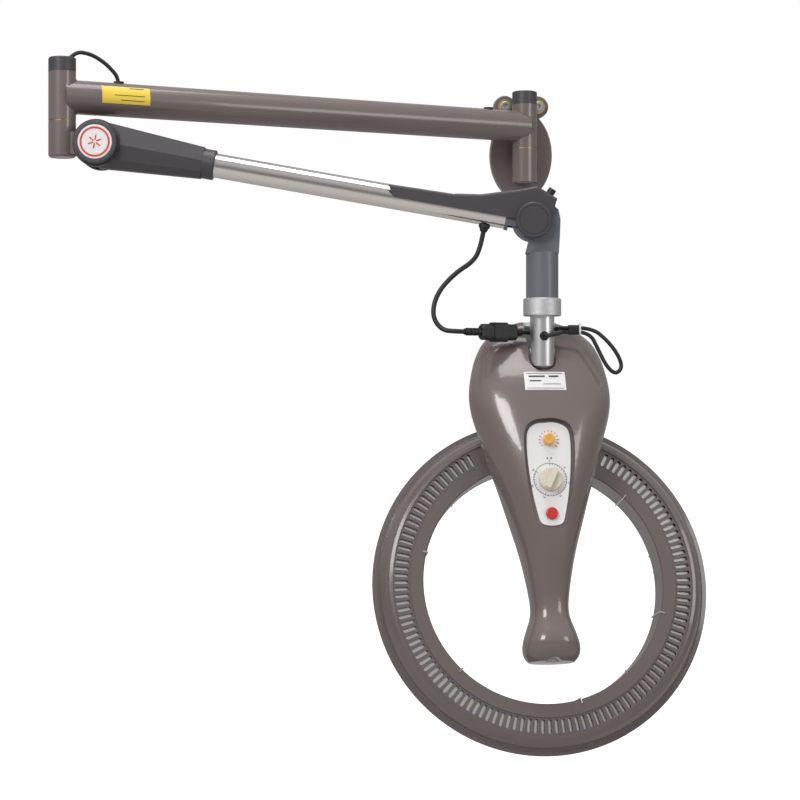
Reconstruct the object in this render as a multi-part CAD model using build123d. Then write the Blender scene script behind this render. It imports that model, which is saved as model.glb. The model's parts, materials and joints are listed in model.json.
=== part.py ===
from build123d import *
import math
import os

# Wall-mounted ring hair dryer on a two-section arm.
# Millimetres. +Z is up, the wall is the plane y = 0, the object stands out along -Y.
# The origin is the middle of the wall plate's back face.

# ---------------------------------------------------------------- driving dimensions
# fits and joints
RUNNING_FIT = 0.05        # radial clearance of a turning fit
SIDE_GAP = 0.4            # gap between faces that turn past each other
SEAT_GAP = 0.2            # gap between fixed pieces that don't need to touch

# wall plate
PLATE_THICK = 14.0
PLATE_CHAMFER = 1.5
PLATE_BELLY_X = 43.0      # half width at the belly
PLATE_BELLY_Z = 62.0      # half height of the belly
EAR_X = 23.0              # bolt spacing, half, across
EAR_Z = 67.0              # bolt spacing, half, up
EAR_R = 15.0
BOLT_R = 4.0
SHANK_R = 3.6             # plain part of the bolt, inside the plate
BOLT_HEAD_R = 6.5
BOLT_HEAD_H = 5.0
BOLT_OUT = 45.0           # length that stands out behind the plate
WASHER_R = 10.0
WASHER_T = 1.6

# posts, sleeves and first arm
POST_OUT = 40.0           # wall to post axis
POST_R = 17.0             # outside of the sleeves, the bracket tube and the caps
SHAFT_R = 10.0
BUSH_R = 13.0             # outside of the bushes, bore of the sleeves
BUSH_LENGTH = 14.0
BUSH_FLANGE = 1.2
BRACKET_LOW = -41.0       # lower end of the bracket's tube
SLEEVE_LOW = 5.5          # lower end of both sleeves
SLEEVE_LENGTH = 60.0
CAP_HEIGHT = 18.0
CAP_WALL = 2.5
SHAFT_HEAD_R = 12.5
SHAFT_HEAD_H = 6.0
ARM1_LENGTH = 650.0
ARM1_R = 21.0
ARM1_WALL = 2.5
ARM1_YAW = 19.0           # first arm stands off the wall by this angle
CORD_HOLE_R = 4.0
JUMPER_EXIT = 72.5        # cord hole, measured from the elbow axis
BLANK_EXIT = 56.0         # blanked hole, measured from the wall post axis

# elbow knuckle
ARM2_YAW = -6.0           # plan direction of the second arm
KNUCKLE_LOW = -40.0
LIFT_X = 45.4             # elbow axis to lift pivot
LIFT_Z = -24.6
LUG_HALF = 12.0           # half thickness of the knuckle's lug
LUG_R = 18.0
PIN_R = 4.0
LINK_PIN_R = 2.5
LINK_PIN_Z = 10.0         # level rod's pins, above both pivots
ROD_SLOT_HALF = 4.5       # half width of the slots that the level rod works in
DISC_T = 2.0              # friction disc
DISC_R = 16.0

# second arm
ARM2_LENGTH = 545.0       # lift pivot to end pivot
ARM2_SLOPE = 10.0         # slopes down at rest
ARM2_R = 15.0
ARM2_WALL = 1.3
CHEEK_T = 3.5
COVER_HUB_R = 29.0
COVER_END_R = 19.0
COVER_END_X = 131.0
COVER_HALF = 25.0         # half width of the covers at the hub
COVER_WALL = 2.2
COLLAR_R = 18.5
COLLAR_LENGTH = 15.0
BOSS_R = 26.5
BOSS_T = 9.0
BADGE_R = 21.0
BADGE_T = 2.5
LEVEL_ROD_R = 2.5
EYE_R = 4.8
EYE_HALF = 3.5
FORK_FLANGE_X = 52.0      # root fork's flange
FORK_FLANGE_T = 8.0
SOCKET_LENGTH = 38.0      # how far a fork reaches into the tube
SOCKET_WALL = 2.5
END_FLANGE_BACK = 34.0    # end fork's flange, measured back from the end pivot
SHIELD_START = 360.0
SHIELD_HALF = 20.5
SHIELD_WALL = 2.0
END_CAP_R = 22.0
END_CAP_T = 6.0
LEAD_EXIT = 487.0         # lead grommet, measured from the lift pivot

# drop bracket and head post
AXIS_X = 11.7             # end pivot to the head post's axis
CASTING_R = 20.0
CASTING_HUB_R = 25.0
CASTING_HALF = 12.0
CASTING_SHOULDER = -40.0
CASTING_LOW = -95.0
COLLAR2_R = 23.5
COLLAR2_H = 22.0
TUBE_R = 15.0
TUBE_WALL = 2.5
DROP = 161.0              # end pivot to tilt pivot
TUBE_TOP = -46.0          # upper end, below the end pivot
TUBE_TIP = 22.0           # the tube ends this far below the tilt pivot
TIP_SWING_R = 23.0        # nothing at the tube's tip is farther than this from the pivot
TONGUE_HALF = 6.0
TONGUE_R = 9.0
CLEVIS_TOP = 13.0
TILT_PIN_R = 3.5
ENTRY_UP = 19.0           # head lead's grommet, above the tilt pivot
STRAND_UP = 30.0          # loop's upper strand in its sleeve, above the tilt pivot
STRAND_STEP = 5.1         # the lower strand is this far below
STRAND_Y = 7.0
SLEEVE_FROM = 34.0
SLEEVE_TO = 47.0

# head
HEAD_TILT = 15.0
PARTING = 36.0            # depth of the parting plane behind the tilt pivot
SHELL_WALL = 3.0
SLOT_HALF = 17.0
SLOT_LOW = -25.5
PANEL_FACE = -13.5
PANEL_T = 2.5
PANEL_MARGIN = 4.0
HEAT_Z = -116.0
HEAT_R = 7.0
TIMER_Z = -165.0
TIMER_R = 14.3
BUTTON_Z = -207.0
BUTTON_R = 7.4
KNOB_SHAFT_R = 3.0
TRAY_BACK = -8.0          # back of the recess's floor
SHAFT_HOLE_R = 3.6
HOOF_NOTCH_R = 12.0
HOOF_NOTCH_Z = -388.0
BACK_DEPTH = 21.0
COVER_SHEET = 2.5
BRACKET_BACK = 49.5       # back of the tilt bracket's plate
BRACKET_PLATE = 3.5
SCREW_X = 20.0
SCREW_Z = 12.0

# ring
RING_Z = -277.4
RING_FACE = 62.0          # depth of the slotted face behind the tilt pivot
RING_IN = 149.0
RING_OUT = 210.0
RING_DEPTH = 42.0
RING_WALL = 2.5
GROOVE_IN = 165.5
GROOVE_OUT = 187.0
GROOVE_DEPTH = 2.0
SLOT_PITCH = 2.75         # degrees between the vents
VENT_SKIP = 27.0          # no vents within this angle of the top
VENT_IN = 167.5
VENT_OUT = 185.0
VENT_HALF = 2.3
HEATER_R = 178.0
HEATER_TUBE_R = 5.0
HEATER_Z = 18.0
HEATER_ARC = 100.0
WIRE_R = 1.0
GUARD_Z = 43.0
STANDOFFS = [(-28, -101), (0, -99), (28, -101)]

# leads
LEAD_R = 3.0
HEAD_LEAD_R = 2.5
JUMPER_R = 2.5

# ---------------------------------------------------------------- frames
POST = Pos(0, -POST_OUT, 0)
ARM1 = POST * Rot(0, 0, 180 + ARM1_YAW)
ARM1_MID = SLEEVE_LOW + SLEEVE_LENGTH / 2
ELBOW_SLEEVE = ARM1 * Pos(ARM1_LENGTH, 0, 0)
ELBOW_POINT = ELBOW_SLEEVE.position
ELBOW = Pos(ELBOW_POINT.X, ELBOW_POINT.Y, 0) * Rot(0, 0, ARM2_YAW)
ARM2 = ELBOW * Pos(LIFT_X, 0, LIFT_Z) * Rot(0, ARM2_SLOPE, 0)
END = ARM2 * Pos(ARM2_LENGTH, 0, 0) * Rot(0, -ARM2_SLOPE, 0)
AXIS = END * Pos(AXIS_X, 0, 0)
AXIS_POINT = AXIS.position
HEAD_POST = Pos(AXIS_POINT.X, AXIS_POINT.Y, AXIS_POINT.Z - DROP)
HEAD = HEAD_POST * Rot(-HEAD_TILT, 0, 0)
RING = HEAD * Pos(0, RING_FACE, RING_Z) * Rot(-90, 0, 0)
CONNECTOR = HEAD_POST * Pos(-35, 9, 24) * Rot(0, 0, 20)


# ---------------------------------------------------------------- helpers
def cyl(radius, low, high):
    """A cylinder on Z from low to high."""
    return Pos(0, 0, (low + high) / 2) * Cylinder(radius, high - low)


def cross_cyl(radius, low, high):
    """A cylinder on Y from low to high."""
    return Pos(0, (low + high) / 2, 0) * Rot(90, 0, 0) * Cylinder(radius, high - low)


def long_cyl(radius, low, high):
    """A cylinder on X from low to high."""
    return Pos((low + high) / 2, 0, 0) * Rot(0, 90, 0) * Cylinder(radius, high - low)


def box(x0, x1, y0, y1, z0, z1):
    """A box between two corners."""
    middle = Pos((x0 + x1) / 2, (y0 + y1) / 2, (z0 + z1) / 2)
    return middle * Box(x1 - x0, y1 - y0, z1 - z0)


def save(name, shape):
    """Write one node."""
    export_step(shape, f"parts/{name}.step")
    print(f"{name:24s} {shape.volume:12.1f}")


def group(solids):
    """Several separate solids as one shape."""
    return Compound(children=list(solids))


def tube_along(points, radius, name):
    """A cord's tube: straight runs joined by arcs as large as the runs allow."""
    runs = [(b - a).length for a, b in zip(points, points[1:])]
    radii = []
    for i in range(1, len(points) - 1):
        turn = math.radians((points[i] - points[i - 1]).get_angle(points[i + 1] - points[i]))
        radii.append(0.45 * min(runs[i - 1], runs[i]) / math.tan(turn / 2))
    path = FilletPolyline(*points, radius=radii)
    section = Plane(origin=path @ 0, z_dir=path % 0) * Circle(radius)
    tube = sweep(section, path=path)
    exact = math.pi * radius**2 * path.length
    print(f"{name}: length {path.length:.0f}, volume / exact {tube.volume / exact:.4f}, "
          f"radii {[round(r) for r in radii]}")
    return tube


# ---------------------------------------------------------------- wall bracket
def plate_outline():
    """The plate's outline: a belly, four ears and the stretch between them."""
    belly = Ellipse(PLATE_BELLY_X, PLATE_BELLY_Z)
    ears = [Pos(x, z) * Circle(EAR_R) for x in (-EAR_X, EAR_X) for z in (-EAR_Z, EAR_Z)]
    middle = Rectangle(2 * EAR_X, 2 * EAR_Z)
    outline = belly + middle
    for ear in ears:
        outline = outline + ear
    return outline


def wall_plate():
    """Cast plate with its web and the bracket's upright tube."""
    plate = Rot(90, 0, 0) * extrude(plate_outline(), PLATE_THICK)
    front = plate.faces().sort_by(Axis.Y)[0]
    plate = chamfer(front.edges(), PLATE_CHAMFER)
    web = box(-11, 11, -POST_OUT, -PLATE_THICK + 2, BRACKET_LOW + 3, SLEEVE_LOW - 3)
    upright = POST * cyl(POST_R, BRACKET_LOW, SLEEVE_LOW - BUSH_FLANGE - 0.1)
    bore = POST * cyl(SHAFT_R, BRACKET_LOW - 1, SLEEVE_LOW + 1)
    body = plate + web + upright - bore
    for x in (-EAR_X, EAR_X):
        for z in (-EAR_Z, EAR_Z):
            hole = Pos(x, 0, z) * cross_cyl(BOLT_R + 0.3, -PLATE_THICK - 1, 1)
            seat = Pos(x, 0, z) * cross_cyl(WASHER_R + 0.5, -PLATE_THICK - 1, -PLATE_THICK + 0.6)
            body = body - hole - seat
    return body


def wall_bolt():
    """Socket-head bolt; its thread stands out behind the plate."""
    seat = -PLATE_THICK + 0.6 - WASHER_T
    head = cross_cyl(BOLT_HEAD_R, seat - BOLT_HEAD_H, seat)
    head = chamfer(head.edges().group_by(Axis.Y)[0], 0.8)
    socket = Pos(0, seat - BOLT_HEAD_H, 0) * Rot(90, 0, 0) * extrude(RegularPolygon(3.4, 6), -3)
    shank = cross_cyl(SHANK_R, seat, 0) + cross_cyl(BOLT_R, 0, BOLT_OUT)
    return head + shank - socket


def wall_washer():
    seat = -PLATE_THICK + 0.6
    return cross_cyl(WASHER_R, seat - WASHER_T, seat) - cross_cyl(BOLT_R + 0.2, seat - 9, seat + 9)


def at_ears(shape):
    """One copy of the shape at each ear."""
    return group(Pos(x, 0, z) * shape for x in (-EAR_X, EAR_X) for z in (-EAR_Z, EAR_Z))


def post_bolt(low):
    """Shouldered bolt that a sleeve turns on, from low up to its head."""
    top = SLEEVE_LOW + SLEEVE_LENGTH + 2 * SIDE_GAP
    shaft = cyl(SHAFT_R, low, top)
    head = cyl(SHAFT_HEAD_R, top, top + SHAFT_HEAD_H)
    head = chamfer(head.edges().group_by(Axis.Z)[-1], 1.0)
    return shaft + head


# ---------------------------------------------------------------- first arm
def sleeve():
    """Upright sleeve with a seat for a bush at each end."""
    body = cyl(POST_R, SLEEVE_LOW, SLEEVE_LOW + SLEEVE_LENGTH)
    return body - cyl(BUSH_R, SLEEVE_LOW - 1, SLEEVE_LOW + SLEEVE_LENGTH + 1)


def sleeve_bushes():
    """Two bushes; the lower one's flange is the thrust face."""
    low = cyl(BUSH_R, SLEEVE_LOW, SLEEVE_LOW + BUSH_LENGTH)
    flange = cyl(POST_R - 0.6, SLEEVE_LOW - BUSH_FLANGE, SLEEVE_LOW)
    bore = cyl(SHAFT_R + RUNNING_FIT, SLEEVE_LOW - 9, SLEEVE_LOW + SLEEVE_LENGTH + 9)
    top = SLEEVE_LOW + SLEEVE_LENGTH
    high = cyl(BUSH_R, top - BUSH_LENGTH, top)
    return [low + flange - bore, high - bore]


def upper_arm_tube():
    """Main tube, coped to both sleeves, with two cord holes on top."""
    outer = Pos(0, 0, ARM1_MID) * long_cyl(ARM1_R, 0, ARM1_LENGTH)
    inner = Pos(0, 0, ARM1_MID) * long_cyl(ARM1_R - ARM1_WALL, -1, ARM1_LENGTH + 1)
    tube = outer - inner
    for x in (0, ARM1_LENGTH):
        tube = tube - Pos(x, 0, 0) * cyl(POST_R, -100, 200)
    tube = tube.solids().sort_by(SortBy.VOLUME)[-1]
    for x in (BLANK_EXIT, ARM1_LENGTH - JUMPER_EXIT):
        tube = tube - Pos(x, 0, 0) * cyl(CORD_HOLE_R, ARM1_MID, ARM1_MID + 2 * ARM1_R)
    return tube


def post_cap():
    """Cap pressed over the top of a sleeve; it covers the bolt's head."""
    low = SLEEVE_LOW + SLEEVE_LENGTH
    body = cyl(POST_R, low, low + CAP_HEIGHT)
    body = fillet(body.edges().group_by(Axis.Z)[-1], 2.0)
    return body - cyl(POST_R - CAP_WALL, low - 1, low + CAP_HEIGHT - CAP_WALL)


def arm_cord_grommets():
    """Rubber grommet at the cord's exit and a blank one near the wall."""
    top = ARM1_MID + ARM1_R
    parts = []
    for x, bored in ((ARM1_LENGTH - JUMPER_EXIT, True), (BLANK_EXIT, False)):
        stem = Pos(x, 0, 0) * cyl(CORD_HOLE_R, top - ARM1_WALL - 2, top + 1)
        rim = Pos(x, 0, 0) * cyl(CORD_HOLE_R + 2.5, top - 1.0, top + 2)
        arm = Pos(x, 0, ARM1_MID) * long_cyl(ARM1_R, -20, 20)
        piece = stem + (rim - arm)
        if bored:
            piece = piece - Pos(x, 0, 0) * cyl(JUMPER_R, top - 9, top + 9)
        parts.append(piece)
    return parts


def jumper_cord():
    """Short cord that hops from the first arm into the elbow's cap."""
    cap_top = SLEEVE_LOW + SLEEVE_LENGTH + CAP_HEIGHT
    route = [(72.5, 54.0), (70.0, 66.0), (56.0, 80.0), (38.0, 90.0), (20.0, 92.5), (8.0, cap_top - 1.0)]
    points = [Vector(ARM1_LENGTH - x, 0, z) for x, z in route]
    return tube_along(points, JUMPER_R, "jumper_cord")


# ---------------------------------------------------------------- elbow
def elbow_knuckle():
    """Cast knuckle: upright hub, cheek and the lug that carries the lift pin."""
    top = SLEEVE_LOW - BUSH_FLANGE - 0.1
    hub = cyl(POST_R, KNUCKLE_LOW, top)
    hub = chamfer(hub.edges().group_by(Axis.Z)[0], 2.0)
    web = box(0, LIFT_X, -LUG_HALF, LUG_HALF, KNUCKLE_LOW + 3, LIFT_Z + LUG_R - 3)
    lug = Pos(LIFT_X, 0, LIFT_Z) * cross_cyl(LUG_R, -LUG_HALF, LUG_HALF)
    bore = cyl(SHAFT_R, KNUCKLE_LOW - 1, top + 1)
    pin_bore = Pos(LIFT_X, 0, LIFT_Z) * cross_cyl(PIN_R, -40, 40)
    slot = box(-8, 40, -ROD_SLOT_HALF, ROD_SLOT_HALF, 4.0, 40)
    slot = slot + Rot(0, ARM2_SLOPE + 36, 0) * box(-6, 60, -ROD_SLOT_HALF, ROD_SLOT_HALF, 4.2, 40)
    body = hub + web + lug - bore - pin_bore
    body = body - Pos(LIFT_X, 0, LIFT_Z) * slot
    return body - Pos(LIFT_X, 0, LIFT_Z + LINK_PIN_Z) * cross_cyl(LINK_PIN_R, -40, 40)


def link_pin(half):
    """Cross pin that an eye of the level rod turns on."""
    return Pos(0, 0, LINK_PIN_Z) * cross_cyl(LINK_PIN_R, -half, half)


def friction_discs():
    """A disc on each face of the knuckle's lug; they hold the arm where it is put."""
    low = LUG_HALF + SEAT_GAP / 2
    disc = cross_cyl(DISC_R, low, low + DISC_T) - cross_cyl(PIN_R, 0, 90)
    return [disc, mirror(disc, Plane.XZ)]


# ---------------------------------------------------------------- second arm
CHEEK_IN = LUG_HALF + SEAT_GAP / 2 + DISC_T + SIDE_GAP
PIN_HALF = CHEEK_IN + CHEEK_T + 2.0


def fork_socket(start, end):
    """Round plug inside the arm's tube, bored, with a slot for the level rod."""
    inside = ARM2_R - ARM2_WALL
    plug = long_cyl(inside, start, end) - long_cyl(inside - SOCKET_WALL, start - 1, end + 1)
    return plug - box(start - 1, end + 1, -ROD_SLOT_HALF, ROD_SLOT_HALF, 0, 2 * ARM2_R)


def arm_root_fork():
    """Fork that joins the arm's tube to the knuckle."""
    cheek = cross_cyl(LUG_R - 1, CHEEK_IN, CHEEK_IN + CHEEK_T)
    cheek = cheek + box(0, FORK_FLANGE_X + 1, CHEEK_IN, CHEEK_IN + CHEEK_T, -9, 8)
    flange_r = CHEEK_IN + CHEEK_T - 0.5
    flange = long_cyl(flange_r, FORK_FLANGE_X, FORK_FLANGE_X + FORK_FLANGE_T)
    flange = flange - long_cyl(ARM2_R - ARM2_WALL - SOCKET_WALL, 0, 99)
    flange = flange - box(0, 99, -ROD_SLOT_HALF, ROD_SLOT_HALF, 0, ARM2_R)
    start = FORK_FLANGE_X + FORK_FLANGE_T
    body = flange + cheek + mirror(cheek, Plane.XZ) + fork_socket(start - 1, start + SOCKET_LENGTH)
    return body - cross_cyl(PIN_R + RUNNING_FIT, -40, 40)


def arm_tube():
    """Chromed tube of the second arm, with a hole below for the lead."""
    start = FORK_FLANGE_X + FORK_FLANGE_T
    end = ARM2_LENGTH - END_FLANGE_BACK
    tube = long_cyl(ARM2_R, start, end) - long_cyl(ARM2_R - ARM2_WALL, start - 1, end + 1)
    return tube - Pos(LEAD_EXIT, 0, 0) * cyl(LEAD_R + 1.5, -2 * ARM2_R, 0)


def cover_section(x, height, half, inset):
    """Six-sided section across the arm, with its widest edge just below the middle."""
    z = height - inset
    y = half - inset
    points = [(0.62 * y, z), (y, 0.1 * z), (0.86 * y, -0.62 * z), (0.4 * y, -z)]
    points += [(-py, pz) for py, pz in reversed(points)]
    corners = [Vector(x, py, pz) for py, pz in points]
    return make_face(Polyline(*corners, close=True))


def cover_form(inset):
    """Both covers' common form: a round hub and a tapering six-sided body."""
    hub = cross_cyl(COVER_HUB_R - inset, -COVER_HALF + inset, COVER_HALF - inset)
    near = cover_section(4, COVER_HUB_R - 0.8, COVER_HALF, inset)
    far = cover_section(COVER_END_X + (1 if inset else 0), COVER_END_R, COVER_END_R, inset)
    return hub + loft([near, far], ruled=True)


def arm_cover(side):
    """One half of the tapering cover; side is -1 for the front half."""
    shell = cover_form(0) - cover_form(COVER_WALL)
    shell = shell - box(-60, 6, -LUG_HALF - 0.8, LUG_HALF + 0.8, -60, 60)
    shell = shell - cross_cyl(PIN_R + 1, -60, 60)
    cut = 0.05
    half = box(-60, 200, cut, 90, -90, 90) if side > 0 else box(-60, 200, -90, -cut, -90, 90)
    kept = shell & half
    return kept.solids().sort_by(SortBy.VOLUME)[-1]


def arm_collar():
    """Collar that closes the covers onto the tube."""
    start = COVER_END_X + SEAT_GAP / 2
    body = long_cyl(COLLAR_R, start, start + COLLAR_LENGTH)
    body = chamfer(body.edges().group_by(Axis.X)[-1], 1.2)
    return body - long_cyl(ARM2_R, 0, 999)


def lift_pivot_caps():
    """Round bosses on both sides of the covers' hub, dished for a badge."""
    low = COVER_HALF + 0.05
    boss = cross_cyl(BOSS_R, low, low + BOSS_T)
    boss = fillet(boss.edges().group_by(Axis.Y)[-1], 2.0)
    boss = boss - cross_cyl(BADGE_R + SEAT_GAP, low + BOSS_T - BADGE_T, low + BOSS_T + 9)
    return [boss, mirror(boss, Plane.XZ)]


def lift_badge():
    """Plain white disc in the front boss."""
    low = -(COVER_HALF + 0.05 + BOSS_T) - 0.6
    disc = cross_cyl(BADGE_R, low, low + BADGE_T + 0.55)
    return fillet(disc.edges().group_by(Axis.Y)[0], 0.8)


def arm_end_fork():
    """Fork at the free end of the tube; it straddles the drop bracket's hub."""
    pivot = ARM2_LENGTH
    inner = CASTING_HALF + SIDE_GAP
    cheek = Pos(pivot, 0, 0) * cross_cyl(LUG_R + 1, inner, inner + CHEEK_T)
    start = pivot - END_FLANGE_BACK
    cheek = cheek + box(start, pivot, inner, inner + CHEEK_T, -11, 11)
    flange = long_cyl(inner + CHEEK_T + 0.6, start, start + 4.5)
    flange = flange - long_cyl(ARM2_R - ARM2_WALL - SOCKET_WALL, 0, 999)
    flange = flange - box(0, 999, -ROD_SLOT_HALF, ROD_SLOT_HALF, 0, ARM2_R + 9)
    body = flange + cheek + mirror(cheek, Plane.XZ)
    body = body + fork_socket(start - SOCKET_LENGTH / 2, start + 1)
    hole = Pos(LEAD_EXIT, 0, 0) * cyl(LEAD_R + 1.5, -2 * ARM2_R, 0)
    return body - hole - Pos(pivot, 0, 0) * cross_cyl(PIN_R, -40, 40)


def end_pivot_pin():
    half = CASTING_HALF + SIDE_GAP + CHEEK_T + 1.5
    return Pos(ARM2_LENGTH, 0, 0) * cross_cyl(PIN_R, -half, half)


def shield_side():
    """Side outline of the shield, along the arm and up from its axis."""
    p = ARM2_LENGTH
    points = [(SHIELD_START, 13.5), (SHIELD_START + 82, 15.4), (SHIELD_START + 116, 20.5)]
    points += [(p - 24, 34.5), (p - 3, 42.5), (p + 24, 31.5), (p + 23, 12)]
    points += [(p - 10, -2), (SHIELD_START + 11, -2)]
    return points


def shield_cover():
    """Saddle over the end of the tube, open below and at its right end."""
    corners = [Vector(x, 0, z) for x, z in shield_side()]
    outline = make_face(Polyline(*corners, close=True))
    body = extrude(outline, SHIELD_HALF, both=True)
    top = [e for e in body.edges() if abs(e.center().Y) > SHIELD_HALF - 0.1 and e.center().Z > 12.5]
    body = fillet(top, 4.0)
    w = SHIELD_WALL
    p = ARM2_LENGTH
    inner = [(SHIELD_START - 9, -9), (SHIELD_START - 9, 15.05), (SHIELD_START + 76, 15.05)]
    inner += [(SHIELD_START + 116, 20.5 - w), (p - 24, 34.5 - w), (p - 3, 42.5 - w - 0.3)]
    inner += [(p + 22, 31.5 - w), (p + 60, 20), (p + 60, -9)]
    space = make_face(Polyline(*[Vector(x, 0, z) for x, z in inner], close=True))
    body = body - extrude(space, SHIELD_HALF - w, both=True)
    body = body - long_cyl(ARM2_R + 0.05, 0, 999)
    body = body - Pos(p, 0, 0) * cross_cyl(END_CAP_R - 12, -60, 60) - adjuster_hole(2.5, -9, 9)
    return body.solids().sort_by(SortBy.VOLUME)[-1]


def end_pivot_caps():
    """Plain discs that cover the end pivot, with a stem onto the fork's cheek."""
    cheek = CASTING_HALF + SIDE_GAP + CHEEK_T
    disc = cross_cyl(END_CAP_R, SHIELD_HALF + 0.1, SHIELD_HALF + 0.1 + END_CAP_T)
    disc = chamfer(disc.edges().group_by(Axis.Y)[-1], 1.2)
    ring = cross_cyl(END_CAP_R - 4, 0, 99) - cross_cyl(END_CAP_R - 5, 0, 99)
    face = SHIELD_HALF + 0.1 + END_CAP_T
    disc = disc - (ring & cross_cyl(END_CAP_R, face - 0.6, face + 1))
    stem = cross_cyl(9, cheek, SHIELD_HALF + 1) - cross_cyl(PIN_R + 0.5, 0, cheek + 2)
    cap = Pos(ARM2_LENGTH, 0, 0) * (disc + stem)
    return [cap, mirror(cap, Plane.XZ)]


def lead_grommet():
    """Rubber grommet where the lead leaves the tube's underside."""
    rim = cyl(LEAD_R + 4, -ARM2_R - 3, -ARM2_R + 1) - long_cyl(ARM2_R, -20, 20)
    stem = cyl(LEAD_R + 1.5, -ARM2_R - 1, -ARM2_R + ARM2_WALL + 0.6)
    skirt = Pos(0, 0, -ARM2_R - 5.5) * Cone(LEAD_R + 1.2, LEAD_R + 3, 5.2)
    body = rim + stem + skirt - cyl(LEAD_R, -60, 0)
    return Pos(LEAD_EXIT, 0, 0) * body


def adjuster_hole(radius, low, high):
    """A cylinder square to the shield's sloping end."""
    return Pos(ARM2_LENGTH + 14, 0, 35.2) * Rot(0, 22.2, 0) * cyl(radius, low, high)


def balance_adjuster():
    """Friction adjusting screw on the shield's sloping end."""
    head = adjuster_hole(5, 1.2, 9)
    return head + adjuster_hole(2.5, -2, 1.5)


def level_rod():
    """Rod that keeps the drop bracket upright; its own frame starts at its first pin."""
    rod = long_cyl(LEVEL_ROD_R, EYE_R - 1, ARM2_LENGTH - EYE_R + 1)
    for x in (0, ARM2_LENGTH):
        rod = rod + Pos(x, 0, 0) * cross_cyl(EYE_R, -EYE_HALF, EYE_HALF)
    rod = rod - cross_cyl(LINK_PIN_R + RUNNING_FIT, -20, 20)
    return rod - Pos(ARM2_LENGTH, 0, 0) * cross_cyl(LINK_PIN_R + RUNNING_FIT, -20, 20)


# ---------------------------------------------------------------- drop bracket
def drop_casting():
    """Casting that hangs from the end pivot and carries the head post."""
    outline = [(0, 25), (12, 22), (22, 21), (31, 14), (33.5, 2), (33, -14), (31.5, CASTING_SHOULDER)]
    outline += [(-9, CASTING_SHOULDER), (-5, -24), (-12, -20), (-20, 0)]
    corners = [Vector(x, 0, z) for x, z in outline]
    web = extrude(make_face(Polyline(*corners, close=True)), CASTING_HALF, both=True)
    hub = cross_cyl(CASTING_HUB_R, -CASTING_HALF, CASTING_HALF)
    barrel = Pos(AXIS_X, 0, 0) * cyl(CASTING_R, CASTING_LOW, CASTING_SHOULDER + 8)
    barrel = chamfer(barrel.edges().group_by(Axis.Z)[-1], 7.0)
    body = web + hub + barrel
    body = body - Pos(AXIS_X, 0, 0) * cyl(TUBE_R + 2.5, CASTING_LOW - 1, TUBE_TOP + 1)
    body = body - cross_cyl(PIN_R + RUNNING_FIT, -40, 40)
    slot = box(-40, 8, -ROD_SLOT_HALF, ROD_SLOT_HALF, 4.4, 40)
    body = body - slot
    return body - Pos(0, 0, LINK_PIN_Z) * cross_cyl(LINK_PIN_R, -40, 40)


def tube_bush():
    """Split bush that the head post turns in."""
    bush = cyl(TUBE_R + 2.5, CASTING_LOW, TUBE_TOP - 3.5)
    return Pos(AXIS_X, 0, 0) * (bush - cyl(TUBE_R + RUNNING_FIT, CASTING_LOW - 1, 0))


def clamp_collar():
    """Cast collar under the casting, with a clamping screw's boss behind."""
    top = CASTING_LOW
    body = cyl(COLLAR2_R, top - COLLAR2_H, top)
    body = chamfer(body.edges().group_by(Axis.Z)[-1], 1.5)
    body = chamfer(body.edges().group_by(Axis.Z)[0], 1.0)
    boss = Pos(0, COLLAR2_R - 2, top - COLLAR2_H / 2) * cross_cyl(5, -4, 5)
    body = body + boss - cyl(TUBE_R + 2 * RUNNING_FIT + 0.3, -200, 0)
    return Pos(AXIS_X, 0, 0) * body


# ---------------------------------------------------------------- head post (origin at the tilt pivot)
def tongue_room():
    """Space inside the tube's tip for the head's tongue at every tilt."""
    half = TONGUE_HALF + SIDE_GAP
    opening = box(-half, half, -4.5, 30, -40, TONGUE_R + 1)
    return opening + Rot(0, 90, 0) * Pos(0, 0, 0) * cyl(TONGUE_R + 0.6, -half, half)


def tip_form():
    """Form that the tube's tip is rounded to."""
    upper = cyl(60, -7, 300)
    round_front = cross_cyl(TUBE_R, -40, 40)
    lower = Pos(0, 0, TUBE_R - TUBE_TIP) * round_front
    ball = Sphere(TIP_SWING_R)
    return upper + (lower & ball)


def head_tube():
    """Bright tube that turns in the casting; its tip is slotted for the head's tongue."""
    top = DROP + TUBE_TOP
    tube = cyl(TUBE_R, -TUBE_TIP - 1, top) + cyl(TUBE_R + 2, top - 3, top)
    tube = tube & tip_form()
    tube = tube - cyl(TUBE_R - TUBE_WALL, -60, top + 1)
    tube = tube - tongue_room() - Rot(0, 90, 0) * cyl(TILT_PIN_R, -40, 40)
    return tube - Pos(0, 0, ENTRY_UP) * cross_cyl(HEAD_LEAD_R + 1.3, -40, 0)


def tilt_clevis():
    """Solid insert in the tube's tip, slotted for the tongue."""
    body = cyl(TUBE_R - TUBE_WALL, -TUBE_TIP + 1, CLEVIS_TOP) & tip_form()
    return body - tongue_room() - Rot(0, 90, 0) * cyl(TILT_PIN_R, -40, 40)


def tilt_pin():
    return Rot(0, 90, 0) * cyl(TILT_PIN_R, -TUBE_R - 0.2, TUBE_R + 0.2)


def tube_grommet():
    """Rubber grommet in the front of the tube."""
    rim = cross_cyl(HEAD_LEAD_R + 3.2, -TUBE_R - 1.8, -TUBE_R + 3)
    rim = Pos(0, 0, ENTRY_UP) * rim - cyl(TUBE_R, -60, 60)
    stem = Pos(0, 0, ENTRY_UP) * cross_cyl(HEAD_LEAD_R + 1.3, -TUBE_R - 1, -TUBE_R + TUBE_WALL + 1)
    return rim + stem - Pos(0, 0, ENTRY_UP) * cross_cyl(HEAD_LEAD_R, -40, 0)


# ---------------------------------------------------------------- leads
def connector_block(x0, x1, height, depth):
    """A moulded block of the connector with softened long edges."""
    block = Pos((x0 + x1) / 2, 0, 0) * Box(x1 - x0, depth, height)
    return fillet(block.edges().filter_by(Axis.X), 5.0)


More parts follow.
